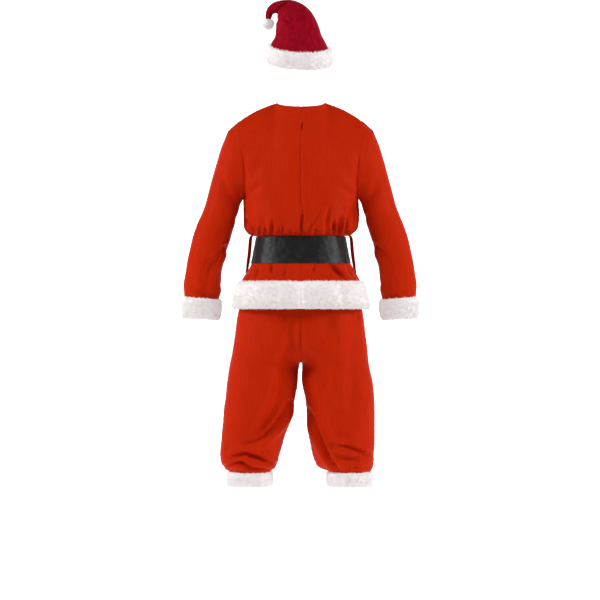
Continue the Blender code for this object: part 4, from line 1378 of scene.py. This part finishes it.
@dataclass
class Hat:
    """The plush hat: a cone that droops to one side, with a fur band and a pompom."""

    finishes: Finishes
    columns: int = 96
    steps: int = 6

    sections = table(
        "out middle height wide deep roll pitch",
        (5, 4, 143, 97, 108, -3, -19), (5, 2, 160, 97, 108, -3, -19), (5, 0, 178, 96, 107, -3, -19),
        (5, -2, 196, 94, 105, -3, -18), (5, -3, 213, 86, 98, -2, -15), (7, -3, 235, 77, 90, 0, -10),
        (12, -2, 262, 70, 80, 6, -5), (24, -1, 290, 60, 68, 20, 0), (42, 0, 309, 48, 54, 42, 0),
        (62, 0, 320, 33, 38, 66, 0), (80, 0, 325, 21, 25, 88, 0), (96, 0, 319, 15, 18, 118, 0),
        (105, 0, 305, 12, 14, 152, 0), (108, 0, 286.6, 9, 10, 176, 0),
    )
    creases = (
        *creases_of(
            Face.BACK, 0.4,
            (9, 5, 42, 342, 66, 324, 86, 298),
        ),
        *creases_of(
            Face.BACK, 0.3,
            (3.5, 7, 52, 286, 40, 268, 20, 262), (3, 8, 78, 226, 56, 236, 36, 232),
            (2.5, 12, -46, 228, -16, 246),
        ),
        *creases_of(
            Face.BACK, 0.2,
            (2.5, 14, 20, 226, 2, 300),
        ),
        *creases_of(
            Face.FRONT, 0.4,
            (6, 5.5, 44, 340, 66, 320, 82, 300),
        ),
        *creases_of(
            Face.FRONT, 0.3,
            (3.5, 8, 50, 280, 20, 262), (2.5, 12, -40, 232, -8, 252),
        ),
    )
    pompom_centre = np.array([108.0, 0.0, 272.0])
    pompom_core, pompom_locks = 15.0, 6500
    tail_reach = 0.72
    band_rows = 3

    def rings(self) -> Array:
        """The crown's ovals, each tipped by its roll and pitch, from the brim to the tail's end."""
        read = finer(self.sections, self.steps)
        turn = turns(self.columns)
        roll, pitch = np.radians(read["roll"]), np.radians(read["pitch"])
        nil = np.zeros_like(roll)
        across = np.stack([np.cos(roll), nil, -np.sin(roll)], 1) * read["wide"][:, None]
        along = np.stack([nil, np.cos(pitch), np.sin(pitch)], 1) * read["deep"][:, None]
        centre = np.stack([read["out"], read["middle"], read["height"]], 1)
        ring = np.cos(turn)[:, None] * across[:, None] + np.sin(turn)[:, None] * along[:, None]
        return centre[:, None] + ring

    def build(self) -> None:
        """Makes and dresses the crown, the band and the pompom."""
        points = self.rings()
        surface = Surface(points, grid_normals(points, True, 1), True)
        band_top = self.band_rows * self.steps
        strip = surface.part(slice(0, band_top + 1))
        band = Fur("hat_fur_band", strip, depth=16.0, count=22000, seed=81)
        trims = [band.build(self.finishes.fur), self.pompom()]
        around = turns(self.columns)
        seam = 1.2 * (bell(around - math.pi, 0.06))[None, :]
        shown = np.clip((np.arange(len(points))[:, None] - band_top) / 6, 0, 1)
        size = np.clip(np.linalg.norm(points - points.mean(1, keepdims=True), axis=2) / 60, 0.1, 1)
        above_band = bell(np.arange(len(points)) - 20.0, 9.0)[:, None]
        gathers = 1.8 * np.cos(around * 17 + 0.8 * np.sin(around * 3)) * above_band
        even = 1.6 * ripple(points, 70, 51) + 0.8 * ripple(points, 28, 52) + gathers
        surface.points = surface.lifted((even * size - pressed(points, self.creases) * size - seam) * shown)
        part = surface.part(slice(self.steps, None))
        piece = part.shell(True).make("hat_crown_plush")
        dress(piece, self.finishes.plush, "hat_cloth", "hat_crown")
        declare_sheet(piece, part, 1.0)

    def pompom(self) -> bpy.types.Object:
        """The pompom: a lumpy ball under locks that stand out all round, but where the tail is."""
        rows, columns = 24, 36
        up = np.linspace(0.02, math.pi - 0.02, rows)[:, None]
        turn = turns(columns)
        x, y = np.sin(up) * np.cos(turn), np.sin(up) * np.sin(turn)
        way = level(x, y, np.cos(up[:, 0]))
        core = self.pompom_centre + way * self.pompom_core
        core = core + way * (0.8 * ripple(core, 12, 90))[..., None]
        ball = Shape(core.reshape(-1, 3), faces_of(rows, columns, True))
        if flipped(ball.points - self.pompom_centre, ball.quads):
            ball.quads = ball.quads[:, ::-1]
        caps = []
        for row, pole in ((0, rows * columns), (rows - 1, rows * columns + 1)):
            ring = row * columns + np.arange(columns)
            fan = np.stack([ring, np.roll(ring, -1), np.full(columns, pole)], 1)
            caps.append(fan if row else fan[:, ::-1])
        points = np.concatenate([ball.points, core[0].mean(0)[None], core[-1].mean(0)[None]])
        ball = Shape(points, ball.quads, np.concatenate(caps))
        draw = np.random.default_rng(91)
        lean = unit(draw.normal(size=(self.pompom_locks, 3)))
        lean = lean[lean[:, 2] < self.tail_reach]
        tuft = np.stack([ripple(lean * 14, 11, 92 + k) for k in range(3)], 1) * 0.35
        root = self.pompom_centre + lean * (self.pompom_core - 0.5)
        length = 6.6 * draw.uniform(0.75, 1.05, (len(lean), 1))
        locks = spikes(root, unit(lean + tuft), length, radius=0.8, draw=draw)
        piece = ball.plus(locks).make("hat_pompom_plush", False)
        dress(piece, self.finishes.fur, "fur", "hat_pompom")
        return piece


@dataclass
class Studio:
    """The photo's white background: a pale floor, soft light all round, and a level camera."""

    floor_height: float = -1.604
    floor_size: float = 18.0
    backdrop_height: float = 8.0
    distance: float = 7.0
    height: float = -0.640
    sidewise: float = 0.003
    view: float = 1.98
    sensor: float = 36.0
    world: float = 0.24
    aim: Triple = (0.0, 0.0, -0.6)
    lamps: tuple[tuple[Triple, float, float], ...] = (
        ((3.0, 1.15, 0.9), 1.0, 84),
        ((-3.0, 1.25, 0.7), 1.0, 77),
        ((0.3, 3.0, 3.4), 1.0, 36),
        ((-0.5, -3.2, 2.2), 1.4, 46),
    )

    def light(self, place: Triple, size: float, power: float) -> None:
        """Adds a soft square light that points at the suit.

        Args:
            place: Where it hangs, in metres.
            size: Its side.
            power: Its power in watts.
        """
        lamp = bpy.data.lights.new("softbox", "AREA")
        lamp.shape, lamp.size, lamp.energy = "SQUARE", size, power
        made = linked("softbox", lamp)
        made.location = place
        made.rotation_euler = (Vector(self.aim) - Vector(place)).to_track_quat("-Z", "Y").to_euler()

    def paper(self, name: str, corners: list[Triple], finish: PaleStage) -> None:
        """Adds a flat sheet of studio paper between four corners, in metres."""
        mesh = bpy.data.meshes.new(name)
        mesh.from_pydata(corners, [], [(0, 1, 2, 3)])
        mesh.materials.append(finish.make())
        linked(name, mesh)

    def build(self) -> None:
        """Makes the floor and backdrop, the world, the lights and the camera."""
        half, low = self.floor_size / 2, self.floor_height
        high = low + self.backdrop_height
        floor = [(-half, -half, low), (half, -half, low), (half, half, low), (-half, half, low)]
        back = [(-half, -half, low), (half, -half, low), (half, -half, high), (-half, -half, high)]
        self.paper("floor", floor, PaleStage(0.72, True))
        self.paper("backdrop", back, PaleStage(1.1))
        world = bpy.data.worlds.new("studio")
        world.use_nodes = True
        sky = world.node_tree.nodes["Background"].inputs
        sky["Color"].default_value, sky["Strength"].default_value = rgb(1.0, 1.0, 1.0), self.world
        bpy.context.scene.world = world
        for place, size, power in self.lamps:
            self.light(place, size, power)
        camera = bpy.data.cameras.new("camera")
        camera.sensor_width = self.sensor
        camera.lens = self.sensor * self.distance / self.view
        camera.clip_end = 60
        made = linked("camera", camera)
        made.location = (self.sidewise, self.distance, self.height)
        made.rotation_euler = (math.radians(90), 0, math.radians(180))
        bpy.context.scene.camera = made
        bpy.context.scene.view_settings.view_transform = "Standard"


def main() -> None:
    """Builds and dresses the suit on its frame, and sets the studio."""
    logging.basicConfig(level=logging.INFO, format="%(message)s")
    finishes = Finishes(
        SuitCloth().make(), HatPlush().make(), FurPlush().make(), BeltLeather().make(), BuckleMetal().make()
    )
    jacket = Jacket(finishes)
    base = jacket.build()
    Belt(finishes, jacket).build(base)
    Breeches(finishes).build()
    Hat(finishes).build()
    Studio().build()


if __name__ == "__main__":
    main()
